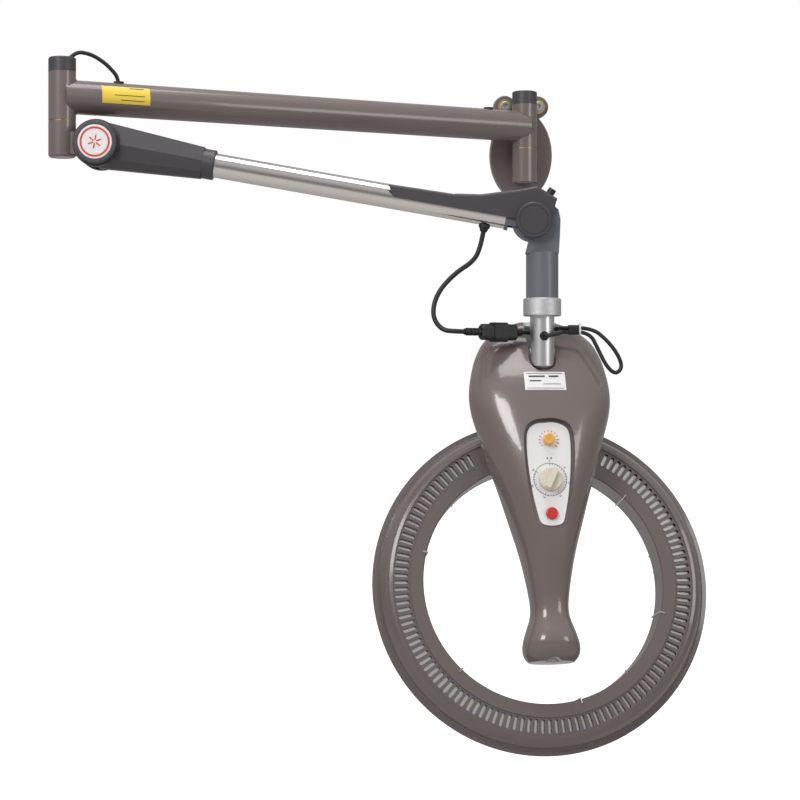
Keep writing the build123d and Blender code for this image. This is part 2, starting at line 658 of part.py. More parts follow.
def lead_socket():
    """Inline socket on the supply lead, in the connector's frame."""
    body = connector_block(-46, -30, 20, 16)
    body = chamfer(body.edges().group_by(Axis.X)[0], 3.0)
    body = body + connector_block(-30, -11, 24, 18) + long_cyl(4.0, -68, -45)
    for x in (-64, -59, -54, -49):
        body = body + long_cyl(4.8, x - 1.5, x + 1.5)
    return body - long_cyl(LEAD_R, -70, -50)


def lead_plug():
    """Inline plug on the head's lead, in the connector's frame."""
    body = connector_block(-11, 4, 20, 16)
    body = chamfer(body.edges().group_by(Axis.X)[-1], 2.5)
    return body + long_cyl(4.0, 3, 12)


def supply_lead():
    """Limp lead from the arm's grommet round to the socket."""
    start = ARM2 * Pos(LEAD_EXIT, 0, -ARM2_R - 8.1)
    below = ARM2 * Pos(LEAD_EXIT, 0, -ARM2_R - 26)
    bends = [(-84, 7, 112), (-108, 4, 97), (-131, 2, 72), (-138, -3, 44), (-127, -10, 26)]
    points = [start.position, below.position]
    points += [(HEAD_POST * Pos(x, y, z)).position for x, y, z in bends]
    points += [(CONNECTOR * Pos(x, 0, 0)).position for x in (-80, -60)]
    return tube_along(points, LEAD_R, "supply_lead")


def head_lead():
    """The head's lead: behind the tube, round a spare loop and into the tube's front."""
    low = STRAND_UP - STRAND_STEP
    out = [(22, STRAND_Y, STRAND_UP), (64, STRAND_Y, STRAND_UP)]
    loop = [(82, 0, 14), (95, -4, -4), (100, -5, -20), (91, -5, -28), (80, -4, -18), (71, 1, 2)]
    back = [(61, STRAND_Y, low), (25, STRAND_Y, low), (22, -12, 24), (14, -25, 21)]
    entry = [(0, -25, ENTRY_UP), (0, -13, ENTRY_UP)]
    points = [(CONNECTOR * Pos(x, 0, 0)).position for x in (12, 43)]
    points += [(HEAD_POST * Pos(*p)).position for p in out + loop + back + entry]
    return tube_along(points, HEAD_LEAD_R, "head_lead")


def strand_form(radius, start, end):
    """Oblong form round the loop's two strands."""
    low = STRAND_UP - STRAND_STEP
    upper = Pos(0, STRAND_Y, STRAND_UP) * long_cyl(radius, start, end)
    lower = Pos(0, STRAND_Y, low) * long_cyl(radius, start, end)
    return upper + lower + box(start, end, STRAND_Y - radius, STRAND_Y + radius, low, STRAND_UP)


def strand_bores():
    low = STRAND_UP - STRAND_STEP
    upper = Pos(0, STRAND_Y, STRAND_UP) * long_cyl(HEAD_LEAD_R, 0, 90)
    return upper + Pos(0, STRAND_Y, low) * long_cyl(HEAD_LEAD_R, 0, 90)


def lead_sleeve():
    """Rubber sleeve over the two strands."""
    return strand_form(HEAD_LEAD_R + 1, SLEEVE_FROM, SLEEVE_TO) - strand_bores()


def cable_tie():
    """Cable tie at the sleeve's end, with its lock on top."""
    band = strand_form(HEAD_LEAD_R + 0.9, SLEEVE_TO + 0.3, SLEEVE_TO + 2.5)
    high = STRAND_UP + HEAD_LEAD_R
    lock = box(SLEEVE_TO + 0.3, SLEEVE_TO + 2.5, STRAND_Y - 2, STRAND_Y + 2, high + 0.5, high + 3)
    return band + lock - strand_bores()


# ---------------------------------------------------------------- head (origin at the tilt pivot)
STATIONS = [
    # height, half width, front at the middle
    (50, 8, 34.5), (48, 22, 31), (44, 35, 27.5), (38, 47, 24), (28, 61.5, 19.5), (12, 74, 10),
    (-10, 82.5, 1), (-35, 87.5, -8.5), (-60, 88, -15), (-85, 83, -19), (-110, 75.5, -21.5),
    (-145, 65.5, -22), (-180, 54.3, -20), (-216, 43.8, -15), (-253, 33.5, -8), (-285, 27, 0),
    (-310, 23.5, 5), (-326, 24.4, 5), (-340, 29, 1), (-352, 33, -3), (-362, 35, -3),
    (-372, 34, 4), (-380, 28, 18),
]
WIDE_POWER = 2 / 2.6
DEEP_POWER = 2 / 2.2
SECTION_POINTS = 13


def shell_section(height, half, front, inset, base):
    """Half-round section of the shell at one height, closed at the base plane."""
    w = half - inset
    h = base - front - inset
    points = []
    for i in range(SECTION_POINTS):
        t = math.pi * i / (SECTION_POINTS - 1)
        across = abs(math.cos(t)) ** WIDE_POWER * math.copysign(1, math.cos(t))
        points.append(Vector(w * across, base - h * math.sin(t) ** DEEP_POWER, height))
    curve = Spline(*points)
    return make_face(Wire([curve.edge(), Line(points[-1], points[0]).edge()]))


def shell_form(inset, base):
    """Solid form of the shell, or of its inside when inset."""
    sections = [shell_section(z, w, y, inset, base) for z, w, y in STATIONS]
    if inset:
        sections = [shell_section(z, w, y, inset, base) for z, w, y in STATIONS[2:-1]]
    return loft(sections)


def front_shell():
    """Front half of the head: a wide round top, a tapering leg and a hoof."""
    outer = shell_form(0, PARTING)
    tray = Pos(0, -25, 0) * panel_solid(PANEL_MARGIN + SHELL_WALL, 25 + TRAY_BACK)
    body = outer - shell_form(SHELL_WALL, PARTING + 1) + (tray & outer)
    pocket = Pos(0, -60, 0) * panel_solid(PANEL_MARGIN, 60 + PANEL_FACE + PANEL_T)
    slot = Pos(0, 0, SLOT_LOW + SLOT_HALF) * cross_cyl(SLOT_HALF, -60, 60)
    slot = slot + box(-SLOT_HALF, SLOT_HALF, -60, 60, SLOT_LOW + SLOT_HALF, 90)
    notch = Pos(0, 0, HOOF_NOTCH_Z) * cross_cyl(HOOF_NOTCH_R, -60, 60)
    body = body - pocket - slot - notch
    for z, radius in ((HEAT_Z, SHAFT_HOLE_R), (TIMER_Z, SHAFT_HOLE_R), (BUTTON_Z, BUTTON_R + 0.4)):
        body = body - Pos(0, 0, z) * cross_cyl(radius, -60, 20)
    return body.solids().sort_by(SortBy.VOLUME)[-1]


def panel_points(extra):
    """Right half of the panel's outline from its top to its bottom, grown by extra."""
    half = [(14, -95), (23.5, -101), (27, -114), (27.3, -126), (24.5, -165), (21, -189)]
    half += [(16.5, -210), (12.5, -219), (6, -221.5)]
    points = [(0, -93.5)] + half + [(-x, z) for x, z in reversed(half)]
    grown = []
    for i, (x, z) in enumerate(points):
        before = Vector(*points[i - 1])
        after = Vector(*points[(i + 1) % len(points)])
        along = (after - before).normalized()
        grown.append(Vector(x - along.Y * extra, z + along.X * extra))
    return grown


def panel_solid(extra, depth):
    """The panel's outline as a solid that runs back from y = 0."""
    outline = make_face(Spline(*panel_points(extra), periodic=True))
    return Rot(90, 0, 0) * extrude(outline, -depth)


def control_panel():
    """White plate in the front shell's recess."""
    plate = Pos(0, PANEL_FACE, 0) * panel_solid(-0.4, PANEL_T)
    plate = plate - Pos(0, 0, BUTTON_Z) * cross_cyl(BUTTON_R + RUNNING_FIT, -60, 60)
    for z in (HEAT_Z, TIMER_Z):
        plate = plate - Pos(0, 0, z) * cross_cyl(SHAFT_HOLE_R, -60, 60)
    return plate


def heat_knob():
    """Heat control's small round knob with its shaft and a pointer rib."""
    front = PANEL_FACE - SIDE_GAP
    knob = cross_cyl(HEAT_R, front - 8, front)
    knob = fillet(knob.edges().group_by(Axis.Y)[0], 1.5)
    rib = box(-1, 1, front - 8.8, front - 4, 0, HEAT_R - 0.6)
    return Pos(0, 0, HEAT_Z) * (knob + rib + cross_cyl(KNOB_SHAFT_R, front - 1, TRAY_BACK + 6))


def timer_knob():
    """Timer's knob: a disc with a grip bar across it, and its shaft."""
    front = PANEL_FACE - SIDE_GAP
    disc = cross_cyl(TIMER_R, front - 6, front)
    disc = chamfer(disc.edges().group_by(Axis.Y)[0], 1.0)
    grip = box(-3.5, 3.5, front - 13, front - 5, -TIMER_R + 1.2, TIMER_R - 1.2)
    grip = fillet(grip.edges().filter_by(Axis.Y), 2.5)
    grip = Rot(0, 25, 0) * grip
    return Pos(0, 0, TIMER_Z) * (disc + grip + cross_cyl(KNOB_SHAFT_R, front - 1, TRAY_BACK + 8))


def power_button():
    """Push button: cap in the panel, stem in the switch."""
    cap = cross_cyl(BUTTON_R, PANEL_FACE - 4, PANEL_FACE + 1)
    cap = fillet(cap.edges().group_by(Axis.Y)[0], 1.5)
    return Pos(0, 0, BUTTON_Z) * (cap + cross_cyl(KNOB_SHAFT_R, PANEL_FACE, TRAY_BACK + 4))


def timer_unit():
    body = cross_cyl(20, TRAY_BACK, TRAY_BACK + 30)
    body = body - cross_cyl(KNOB_SHAFT_R + RUNNING_FIT, TRAY_BACK - 1, TRAY_BACK + 9)
    return Pos(0, 0, TIMER_Z) * body


def heat_control():
    body = box(-12, 12, TRAY_BACK, TRAY_BACK + 14, -12, 12)
    body = body - cross_cyl(KNOB_SHAFT_R + RUNNING_FIT, TRAY_BACK - 1, TRAY_BACK + 7)
    return Pos(0, 0, HEAT_Z) * body


def power_switch():
    body = box(-10, 10, TRAY_BACK, TRAY_BACK + 20, -9, 9)
    body = body - cross_cyl(KNOB_SHAFT_R + RUNNING_FIT, TRAY_BACK - 1, TRAY_BACK + 9)
    return Pos(0, 0, BUTTON_Z) * body


def back_section(height, half, inset):
    """Section of the back cover at one height."""
    w = half - 0.3 - inset
    h = BACK_DEPTH - inset
    points = []
    for i in range(SECTION_POINTS):
        t = math.pi * i / (SECTION_POINTS - 1)
        across = abs(math.cos(t)) ** WIDE_POWER * math.copysign(1, math.cos(t))
        points.append(Vector(w * across, PARTING + h * math.sin(t) ** DEEP_POWER, height))
    base = PARTING - (1 if inset else 0)
    ends = [Vector(-w, base, height), Vector(w, base, height)] if inset else []
    lower = Polyline(points[-1], *ends, points[0]) if inset else Line(points[-1], points[0])
    return make_face(Wire([Spline(*points).edge(), *lower.edges()]))


def back_form(inset):
    stations = STATIONS[2:-1] if inset else STATIONS
    return loft([back_section(z, w, inset) for z, w, _ in stations])


def at_screws(shape):
    """One copy at each of the tilt bracket's screws."""
    return [Pos(x, 0, z) * shape for x in (-SCREW_X, SCREW_X) for z in (-SCREW_Z, SCREW_Z)]


def back_cover():
    """Back half of the head, with bosses for the tilt bracket and stand-offs for the ring."""
    form = back_form(0)
    body = form - back_form(COVER_SHEET)
    boss = cross_cyl(5, BRACKET_BACK, PARTING + BACK_DEPTH)
    for one in at_screws(boss):
        body = body + (one & form)
    for x, z in STANDOFFS:
        body = body + Pos(x, 0, z) * cross_cyl(7, PARTING + BACK_DEPTH - 4, RING_FACE + GROOVE_DEPTH)
    seat = PARTING + BACK_DEPTH - 3
    for one in at_screws(cross_cyl(4.3, seat, 90) + cross_cyl(2, 0, 90)):
        body = body - one
    return body


def shell_screws():
    """Screws through the back cover into the tilt bracket."""
    seat = PARTING + BACK_DEPTH - 3
    head = cross_cyl(4, seat, seat + 2)
    return at_screws(head + cross_cyl(2, BRACKET_BACK - BRACKET_PLATE - 1, seat))


def tilt_bracket():
    """Tongue that the head hangs by, on a plate behind it."""
    eye = Rot(0, 90, 0) * cyl(TONGUE_R, -TONGUE_HALF, TONGUE_HALF)
    arm = box(-TONGUE_HALF, TONGUE_HALF, 0, BRACKET_BACK - 1, -TONGUE_R, TONGUE_R)
    plate = box(-28, 28, BRACKET_BACK - BRACKET_PLATE, BRACKET_BACK, -20, 20)
    body = eye + arm + plate - Rot(0, 90, 0) * cyl(TILT_PIN_R + RUNNING_FIT, -40, 40)
    for one in at_screws(cross_cyl(2, 0, 90)):
        body = body - one
    return body


# ---------------------------------------------------------------- ring (z runs back, +y is down)
def ring_shell():
    """Front of the ring: flat inner band, slotted groove and a rounded outer band."""
    outer = [(RING_IN, RING_DEPTH), (RING_IN, 1.2), (RING_IN + 1.2, 0), (GROOVE_IN, 0)]
    outer += [(GROOVE_IN, GROOVE_DEPTH), (GROOVE_OUT, GROOVE_DEPTH), (GROOVE_OUT, 0.3)]
    outer += [(191, 1.4), (196, 5.5), (200, 12), (202.5, 20), (204.5, 23.3), (RING_OUT, 24)]
    inner = [(RING_OUT, 26.5), (203.5, 26.5), (200.2, 21.5), (197.6, 13.4), (194, 7.6), (189.8, 4.5)]
    inner += [(GROOVE_IN - RING_WALL, 4.5), (GROOVE_IN - RING_WALL, RING_WALL)]
    inner += [(RING_IN + RING_WALL, RING_WALL), (RING_IN + RING_WALL, RING_DEPTH)]
    body = turned(outer + inner)
    return body - ring_vents()


def turned(points):
    """A profile of radius and depth turned about the ring's axis."""
    profile = make_face(Polyline(*[Vector(r, 0, z) for r, z in points], close=True))
    return revolve(profile, Axis.Z)


def ring_vents():
    """Round-ended radial slots right round the groove except under the leg."""
    middle = (VENT_IN + VENT_OUT) / 2
    slot = extrude(SlotOverall(VENT_OUT - VENT_IN, 2 * VENT_HALF), 9)
    count = int((360 - 2 * VENT_SKIP) / SLOT_PITCH)
    first = -90 + VENT_SKIP + (360 - 2 * VENT_SKIP - (count - 1) * SLOT_PITCH) / 2
    return [Rot(0, 0, first + i * SLOT_PITCH) * Pos(middle, 0, -1) * slot for i in range(count)]


def ring_reflector():
    """Thin bright dish behind the slots, held by a flange at the rim."""
    front = [(151.9, 34), (154, 12), (158, 8), (188, 8), (192.5, 12), (196, 22), (203, 26.5), (209, 26.5)]
    back = [(209, 27.3), (202.6, 27.3), (195.3, 22.8), (191.9, 12.6), (187.7, 8.8), (158.3, 8.8)]
    back += [(154.8, 12.4), (152.7, 34)]
    return turned(front + back)


def heater_tube():
    """One heater tube, a third of the ring."""
    section = Plane.XZ * Pos(HEATER_R, HEATER_Z) * Circle(HEATER_TUBE_R)
    return revolve(section, Axis.Z, revolution_arc=HEATER_ARC)


def heater_tubes():
    return [Rot(0, 0, 120 * i + 30) * heater_tube() for i in range(3)]


def heater_holders():
    """Blocks on the reflector that cradle the heater tubes."""
    trough = turned_circle(HEATER_R, HEATER_Z, HEATER_TUBE_R)
    holders = []
    for i in range(3):
        for angle in (14, HEATER_ARC - 14):
            block = box(HEATER_R - 8, HEATER_R + 8, -4, 4, 8.8, HEATER_Z + 1)
            holders.append(Rot(0, 0, 120 * i + 30 + angle) * block - trough)
    return holders


def turned_circle(radius, depth, wire):
    """A wire ring about the ring's axis."""
    return Pos(0, 0, depth) * Torus(radius, wire)


def guard_wires():
    """Welded wire guard over the open back, with clips round the inner edge."""
    body = turned_circle(RING_IN + 1.2, GUARD_Z, WIRE_R)
    for radius in (163.5, 177, 190.5, 206):
        body = body + turned_circle(radius, GUARD_Z, WIRE_R)
    for i in range(12):
        bar = Pos(0, 0, GUARD_Z) * long_cyl(WIRE_R, 148.0, 206)
        bar = bar + Pos(206, 0, 0) * cyl(WIRE_R, 27.3, GUARD_Z)
        if i % 2 == 0:
            bar = bar + Pos(RING_IN - WIRE_R - 0.1, 0, 0) * cyl(WIRE_R, -1.1, GUARD_Z)
            bar = bar + Pos(0, 0, -1.1) * long_cyl(WIRE_R, RING_IN - WIRE_R - 0.1, 154)
        body = body + Rot(0, 0, 30 * i + 15) * bar
    return body


def placed(frame, shapes):
    """One shape, or several as a group, put in their frame."""
    if isinstance(shapes, (list, tuple)):
        return group(frame * one for one in shapes)
    return frame * shapes


def main():
    os.makedirs("parts", exist_ok=True)
    origin = Pos(0, 0, 0)
    link = ELBOW * Pos(LIFT_X, 0, LIFT_Z)
    rod = link * Pos(0, 0, LINK_PIN_Z) * Rot(0, ARM2_SLOPE, 0)
    # wall bracket
    save("wall_plate", wall_plate())
    save("wall_bolts", at_ears(wall_bolt()))
    save("wall_washers", at_ears(wall_washer()))
    save("wall_post_bolt", placed(POST, post_bolt(BRACKET_LOW)))
    # first arm
    save("upper_arm_tube", placed(ARM1, upper_arm_tube()))
    save("wall_sleeve", placed(POST, sleeve()))
    save("elbow_sleeve", placed(ELBOW_SLEEVE, sleeve()))
    bushes = [frame * bush for frame in (POST, ELBOW_SLEEVE) for bush in sleeve_bushes()]
    save("sleeve_bushes", placed(origin, bushes))
    save("wall_post_cap", placed(POST, post_cap()))
    save("elbow_post_cap", placed(ELBOW_SLEEVE, post_cap()))
    save("arm_cord_grommets", placed(ARM1, arm_cord_grommets()))
    save("jumper_cord", placed(ARM1, jumper_cord()))
    # elbow
    save("elbow_knuckle", placed(ELBOW, elbow_knuckle()))
    save("elbow_post_bolt", placed(ELBOW, post_bolt(KNUCKLE_LOW)))
    pins = [cross_cyl(PIN_R, -PIN_HALF, PIN_HALF), link_pin(LUG_HALF)]
    save("knuckle_pins", placed(link, pins))
    save("friction_discs", placed(link, friction_discs()))
    # second arm
    save("arm_root_fork", placed(ARM2, arm_root_fork()))
    save("chrome_tube", placed(ARM2, arm_tube()))
    save("arm_cover_near", placed(ARM2, arm_cover(-1)))
    save("arm_cover_far", placed(ARM2, arm_cover(1)))
    save("arm_collar", placed(ARM2, arm_collar()))
    save("lift_pivot_caps", placed(ARM2, lift_pivot_caps()))
    save("lift_badge", placed(ARM2, lift_badge()))
    save("arm_end_fork", placed(ARM2, arm_end_fork()))
    save("end_pivot_pin", placed(ARM2, end_pivot_pin()))
    save("end_pivot_caps", placed(ARM2, end_pivot_caps()))
    save("shield_cover", placed(ARM2, shield_cover()))
    save("balance_adjuster", placed(ARM2, balance_adjuster()))
    save("lead_grommet", placed(ARM2, lead_grommet()))
    save("level_rod", placed(rod, level_rod()))
    # drop bracket
    save("drop_casting", placed(END, drop_casting()))
    save("bracket_link_pin", placed(END, link_pin(CASTING_HALF)))
    save("tube_bush", placed(END, tube_bush()))
    save("clamp_collar", placed(END, clamp_collar()))
    save("lead_socket", placed(CONNECTOR, lead_socket()))
    save("lead_plug", placed(CONNECTOR, lead_plug()))
    save("supply_lead", supply_lead())
    # head post
    save("head_tube", placed(HEAD_POST, head_tube()))
    save("tilt_clevis", placed(HEAD_POST, tilt_clevis()))
    save("tilt_pin", placed(HEAD_POST, tilt_pin()))
    save("tube_grommet", placed(HEAD_POST, tube_grommet()))
    save("head_lead", head_lead())
    save("lead_sleeve", placed(HEAD_POST, lead_sleeve()))
    save("cable_tie", placed(HEAD_POST, cable_tie()))
    # head
    save("front_shell", placed(HEAD, front_shell()))
    save("back_cover", placed(HEAD, back_cover()))
    save("control_panel", placed(HEAD, control_panel()))
    save("tilt_bracket", placed(HEAD, tilt_bracket()))
    save("shell_screws", placed(HEAD, shell_screws()))
    save("timer_unit", placed(HEAD, timer_unit()))
    save("heat_control", placed(HEAD, heat_control()))
    save("power_switch", placed(HEAD, power_switch()))
    save("heat_knob", placed(HEAD, heat_knob()))
    save("timer_knob", placed(HEAD, timer_knob()))
    save("power_button", placed(HEAD, power_button()))
    # ring
    save("ring_shell", placed(RING, ring_shell()))
    save("ring_reflector", placed(RING, ring_reflector()))
    save("heater_tubes", placed(RING, heater_tubes()))
    save("heater_holders", placed(RING, heater_holders()))
    save("guard_wires", placed(RING, guard_wires()))


if __name__ == "__main__":
    main()
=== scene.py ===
"""Dressed model of a wall-mounted ring hair dryer on a two-section arm."""
import json
import logging
import math
from dataclasses import dataclass, field
from enum import Enum
from typing import Iterable, Sequence

import bmesh
import bpy
from mathutils import Matrix, Vector
from mathutils.bvhtree import BVHTree

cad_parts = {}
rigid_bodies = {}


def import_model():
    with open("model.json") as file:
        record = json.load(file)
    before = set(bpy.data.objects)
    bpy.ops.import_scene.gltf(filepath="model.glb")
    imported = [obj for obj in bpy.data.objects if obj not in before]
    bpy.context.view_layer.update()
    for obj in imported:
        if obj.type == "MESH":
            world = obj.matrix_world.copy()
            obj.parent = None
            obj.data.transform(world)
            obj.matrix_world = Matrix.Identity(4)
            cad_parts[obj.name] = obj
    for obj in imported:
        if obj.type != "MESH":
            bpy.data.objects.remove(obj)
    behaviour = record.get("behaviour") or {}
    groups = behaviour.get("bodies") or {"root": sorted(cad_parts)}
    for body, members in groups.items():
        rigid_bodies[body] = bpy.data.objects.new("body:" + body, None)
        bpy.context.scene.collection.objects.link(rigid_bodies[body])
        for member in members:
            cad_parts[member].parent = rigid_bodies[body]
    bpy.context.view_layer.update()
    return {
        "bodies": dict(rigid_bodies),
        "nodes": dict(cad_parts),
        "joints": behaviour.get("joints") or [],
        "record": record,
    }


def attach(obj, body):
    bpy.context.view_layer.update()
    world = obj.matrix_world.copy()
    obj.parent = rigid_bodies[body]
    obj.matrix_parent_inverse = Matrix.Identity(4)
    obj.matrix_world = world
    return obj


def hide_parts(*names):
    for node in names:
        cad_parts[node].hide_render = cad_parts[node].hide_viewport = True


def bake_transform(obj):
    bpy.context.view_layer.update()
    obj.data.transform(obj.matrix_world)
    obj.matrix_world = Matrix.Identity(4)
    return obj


LOG = logging.getLogger("ring_dryer")
MM = 0.001
RING_STEPS = 64
DISC_SIDES = 32
DISC_TAPER = 0.92


# ---------------------------------------------------------------- frames
def shift(x: float, y: float, z: float) -> Matrix:
    """A move in millimetres.

    Args:
        x: Move along X.
        y: Move along Y.
        z: Move along Z.

    Returns:
        The move.
    """
    return Matrix.Translation((x, y, z))


def turn(axis: str, degrees: float) -> Matrix:
    """A turn about one axis.

    Args:
        axis: X, Y or Z.
        degrees: The angle.

    Returns:
        The turn.
    """
    return Matrix.Rotation(math.radians(degrees), 4, axis)


@dataclass(frozen=True)
class Frames:
    """The sub-assemblies' frames at rest, in millimetres, from the frame's driving sizes."""

    post_out: float = 40.0
    arm1_length: float = 650.0
    arm1_yaw: float = 19.0
    arm2_yaw: float = -6.0
    arm2_length: float = 545.0
    arm2_slope: float = 10.0
    lift_x: float = 45.4
    lift_z: float = -24.6
    axis_x: float = 11.7
    drop: float = 161.0
    tilt: float = 15.0
    connector_place: tuple[float, float, float] = (-35.0, 9.0, 24.0)
    connector_yaw: float = 20.0

    @property
    def arm1(self) -> Matrix:
        """First arm: x runs from the wall post to the elbow."""
        return shift(0, -self.post_out, 0) @ turn("Z", 180 + self.arm1_yaw)

    @property
    def elbow_sleeve(self) -> Matrix:
        """Upright axis at the first arm's outer end."""
        return self.arm1 @ shift(self.arm1_length, 0, 0)

    @property
    def arm2(self) -> Matrix:
        """Second arm: x runs down the arm from the lift pivot."""
        elbow = self.elbow_sleeve.to_translation()
        upright = shift(elbow.x, elbow.y, 0) @ turn("Z", self.arm2_yaw)
        return upright @ shift(self.lift_x, 0, self.lift_z) @ turn("Y", self.arm2_slope)

    @property
    def head_post(self) -> Matrix:
        """Upright frame at the tilt pivot."""
        end = self.arm2 @ shift(self.arm2_length, 0, 0) @ turn("Y", -self.arm2_slope)
        axis = (end @ shift(self.axis_x, 0, 0)).to_translation()
        return shift(axis.x, axis.y, axis.z - self.drop)

    @property
    def head(self) -> Matrix:
        """Head: -y is its front, z runs up its leg, the origin is the tilt pivot."""
        return self.head_post @ turn("X", -self.tilt)

    @property
    def connector(self) -> Matrix:
        """Inline connector: x runs along it towards the plug."""
        return self.head_post @ shift(*self.connector_place) @ turn("Z", self.connector_yaw)


FRAMES = Frames()


def metres(frame: Matrix, point: Sequence[float]) -> Vector:
    """A point of a frame in millimetres as a point of the whole object in metres.

    Args:
        frame: The frame.
        point: The point in it, in millimetres.

    Returns:
        The point in metres.
    """
    return (frame @ Vector(point)) * MM


# ---------------------------------------------------------------- finishes
class Pattern(Enum):
    """The fine relief that a finish has."""

    ORANGE_PEEL = "orange peel"
    MOULDED = "moulded grain"
    SAND_CAST = "sand cast"
    BRUSHED = "brushed lines"
    POLISHED = "polished"


class NodeTools:
    """Builds the node groups that the finishes share."""

    def __init__(self) -> None:
        """Makes each group once."""
        self.tone = self._tone_group()
        self.relief = self._relief_group()
        self.lines = self._lines_group()

    @staticmethod
    def _group(name: str, inputs: Iterable[tuple[str, str, object]], outputs: Iterable[tuple[str, str]]):
        """A node group with its sockets.

        Args:
            name: The group's name.
            inputs: Name, socket type and default of each input.
            outputs: Name and socket type of each output.

        Returns:
            The group, its input node and its output node.
        """
        group = bpy.data.node_groups.new(name, "ShaderNodeTree")
        for label, kind, default in inputs:
            socket = group.interface.new_socket(name=label, in_out="INPUT", socket_type=kind)
            socket.default_value = default
        for label, kind in outputs:
            group.interface.new_socket(name=label, in_out="OUTPUT", socket_type=kind)
        return group, group.nodes.new("NodeGroupInput"), group.nodes.new("NodeGroupOutput")

    def _tone_group(self) -> bpy.types.NodeTree:
        """Colour drift and handling marks: a tinted colour and a roughness value."""
        group, entry, leave = self._group(
            "handling_tone",
            [
                ("Color", "NodeSocketColor", (0.5, 0.5, 0.5, 1)),
                ("Drift", "NodeSocketFloat", 0.05),
                ("Roughness", "NodeSocketFloat", 0.4),
                ("Smudge", "NodeSocketFloat", 0.06),
            ],
            [("Color", "NodeSocketColor"), ("Roughness", "NodeSocketFloat")],
        )
        nodes, links = group.nodes, group.links
        place = nodes.new("ShaderNodeTexCoord")
        cloud = nodes.new("ShaderNodeTexNoise")
        cloud.inputs["Scale"].default_value = 9.0
        cloud.inputs["Detail"].default_value = 3.0
        links.new(place.outputs["Object"], cloud.inputs["Vector"])
        smear = nodes.new("ShaderNodeTexNoise")
        smear.inputs["Scale"].default_value = 42.0
        smear.inputs["Detail"].default_value = 4.0
        links.new(place.outputs["Object"], smear.inputs["Vector"])
        centre = nodes.new("ShaderNodeMath")
        centre.operation = "SUBTRACT"
        centre.inputs[1].default_value = 0.5
        links.new(cloud.outputs["Fac"], centre.inputs[0])
        drift = nodes.new("ShaderNodeMath")
        drift.operation = "MULTIPLY"
        links.new(centre.outputs[0], drift.inputs[0])
        links.new(entry.outputs["Drift"], drift.inputs[1])
        level = nodes.new("ShaderNodeMath")
        level.operation = "ADD"
        level.inputs[1].default_value = 1.0
        links.new(drift.outputs[0], level.inputs[0])
        tint = nodes.new("ShaderNodeHueSaturation")
        links.new(entry.outputs["Color"], tint.inputs["Color"])
        links.new(level.outputs[0], tint.inputs["Value"])
        links.new(tint.outputs["Color"], leave.inputs["Color"])
        rub = nodes.new("ShaderNodeMath")
        rub.operation = "MULTIPLY_ADD"
        links.new(smear.outputs["Fac"], rub.inputs[0])
        links.new(entry.outputs["Smudge"], rub.inputs[1])
        links.new(entry.outputs["Roughness"], rub.inputs[2])
        links.new(rub.outputs[0], leave.inputs["Roughness"])
        return group

    def _relief_group(self) -> bpy.types.NodeTree:
        """Even grain, such as orange peel, moulded plastic or a sand casting."""
        group, entry, leave = self._group(
            "even_relief",
            [("Scale", "NodeSocketFloat", 300.0), ("Coarse Share", "NodeSocketFloat", 0.3)],
            [("Height", "NodeSocketFloat")],
        )
        nodes, links = group.nodes, group.links
        place = nodes.new("ShaderNodeTexCoord")
        fine = nodes.new("ShaderNodeTexNoise")
        fine.inputs["Detail"].default_value = 3.0
        links.new(place.outputs["Object"], fine.inputs["Vector"])
        links.new(entry.outputs["Scale"], fine.inputs["Scale"])
        coarse = nodes.new("ShaderNodeTexVoronoi")
        coarse.feature = "SMOOTH_F1"
        half = nodes.new("ShaderNodeMath")
        half.operation = "MULTIPLY"
        half.inputs[1].default_value = 0.35
        links.new(entry.outputs["Scale"], half.inputs[0])
        links.new(place.outputs["Object"], coarse.inputs["Vector"])
        links.new(half.outputs[0], coarse.inputs["Scale"])
        both = nodes.new("ShaderNodeMath")
        both.operation = "MULTIPLY_ADD"
        links.new(coarse.outputs["Distance"], both.inputs[0])
        links.new(entry.outputs["Coarse Share"], both.inputs[1])
        links.new(fine.outputs["Fac"], both.inputs[2])
        links.new(both.outputs[0], leave.inputs["Height"])
        return group

    def _lines_group(self) -> bpy.types.NodeTree:
        """Fine lines left by drawing or turning, stretched along one direction."""
        group, entry, leave = self._group(
            "drawn_lines",
            [("Stretch", "NodeSocketVector", (1, 1, 30)), ("Scale", "NodeSocketFloat", 60.0)],
            [("Height", "NodeSocketFloat")],
        )
        nodes, links = group.nodes, group.links
        place = nodes.new("ShaderNodeTexCoord")
        pull = nodes.new("ShaderNodeVectorMath")
        pull.operation = "MULTIPLY"
        links.new(place.outputs["Object"], pull.inputs[0])
        links.new(entry.outputs["Stretch"], pull.inputs[1])
        noise = nodes.new("ShaderNodeTexNoise")
        noise.inputs["Detail"].default_value = 5.0
        links.new(pull.outputs[0], noise.inputs["Vector"])
        links.new(entry.outputs["Scale"], noise.inputs["Scale"])
        links.new(noise.outputs["Fac"], leave.inputs["Height"])
        return group


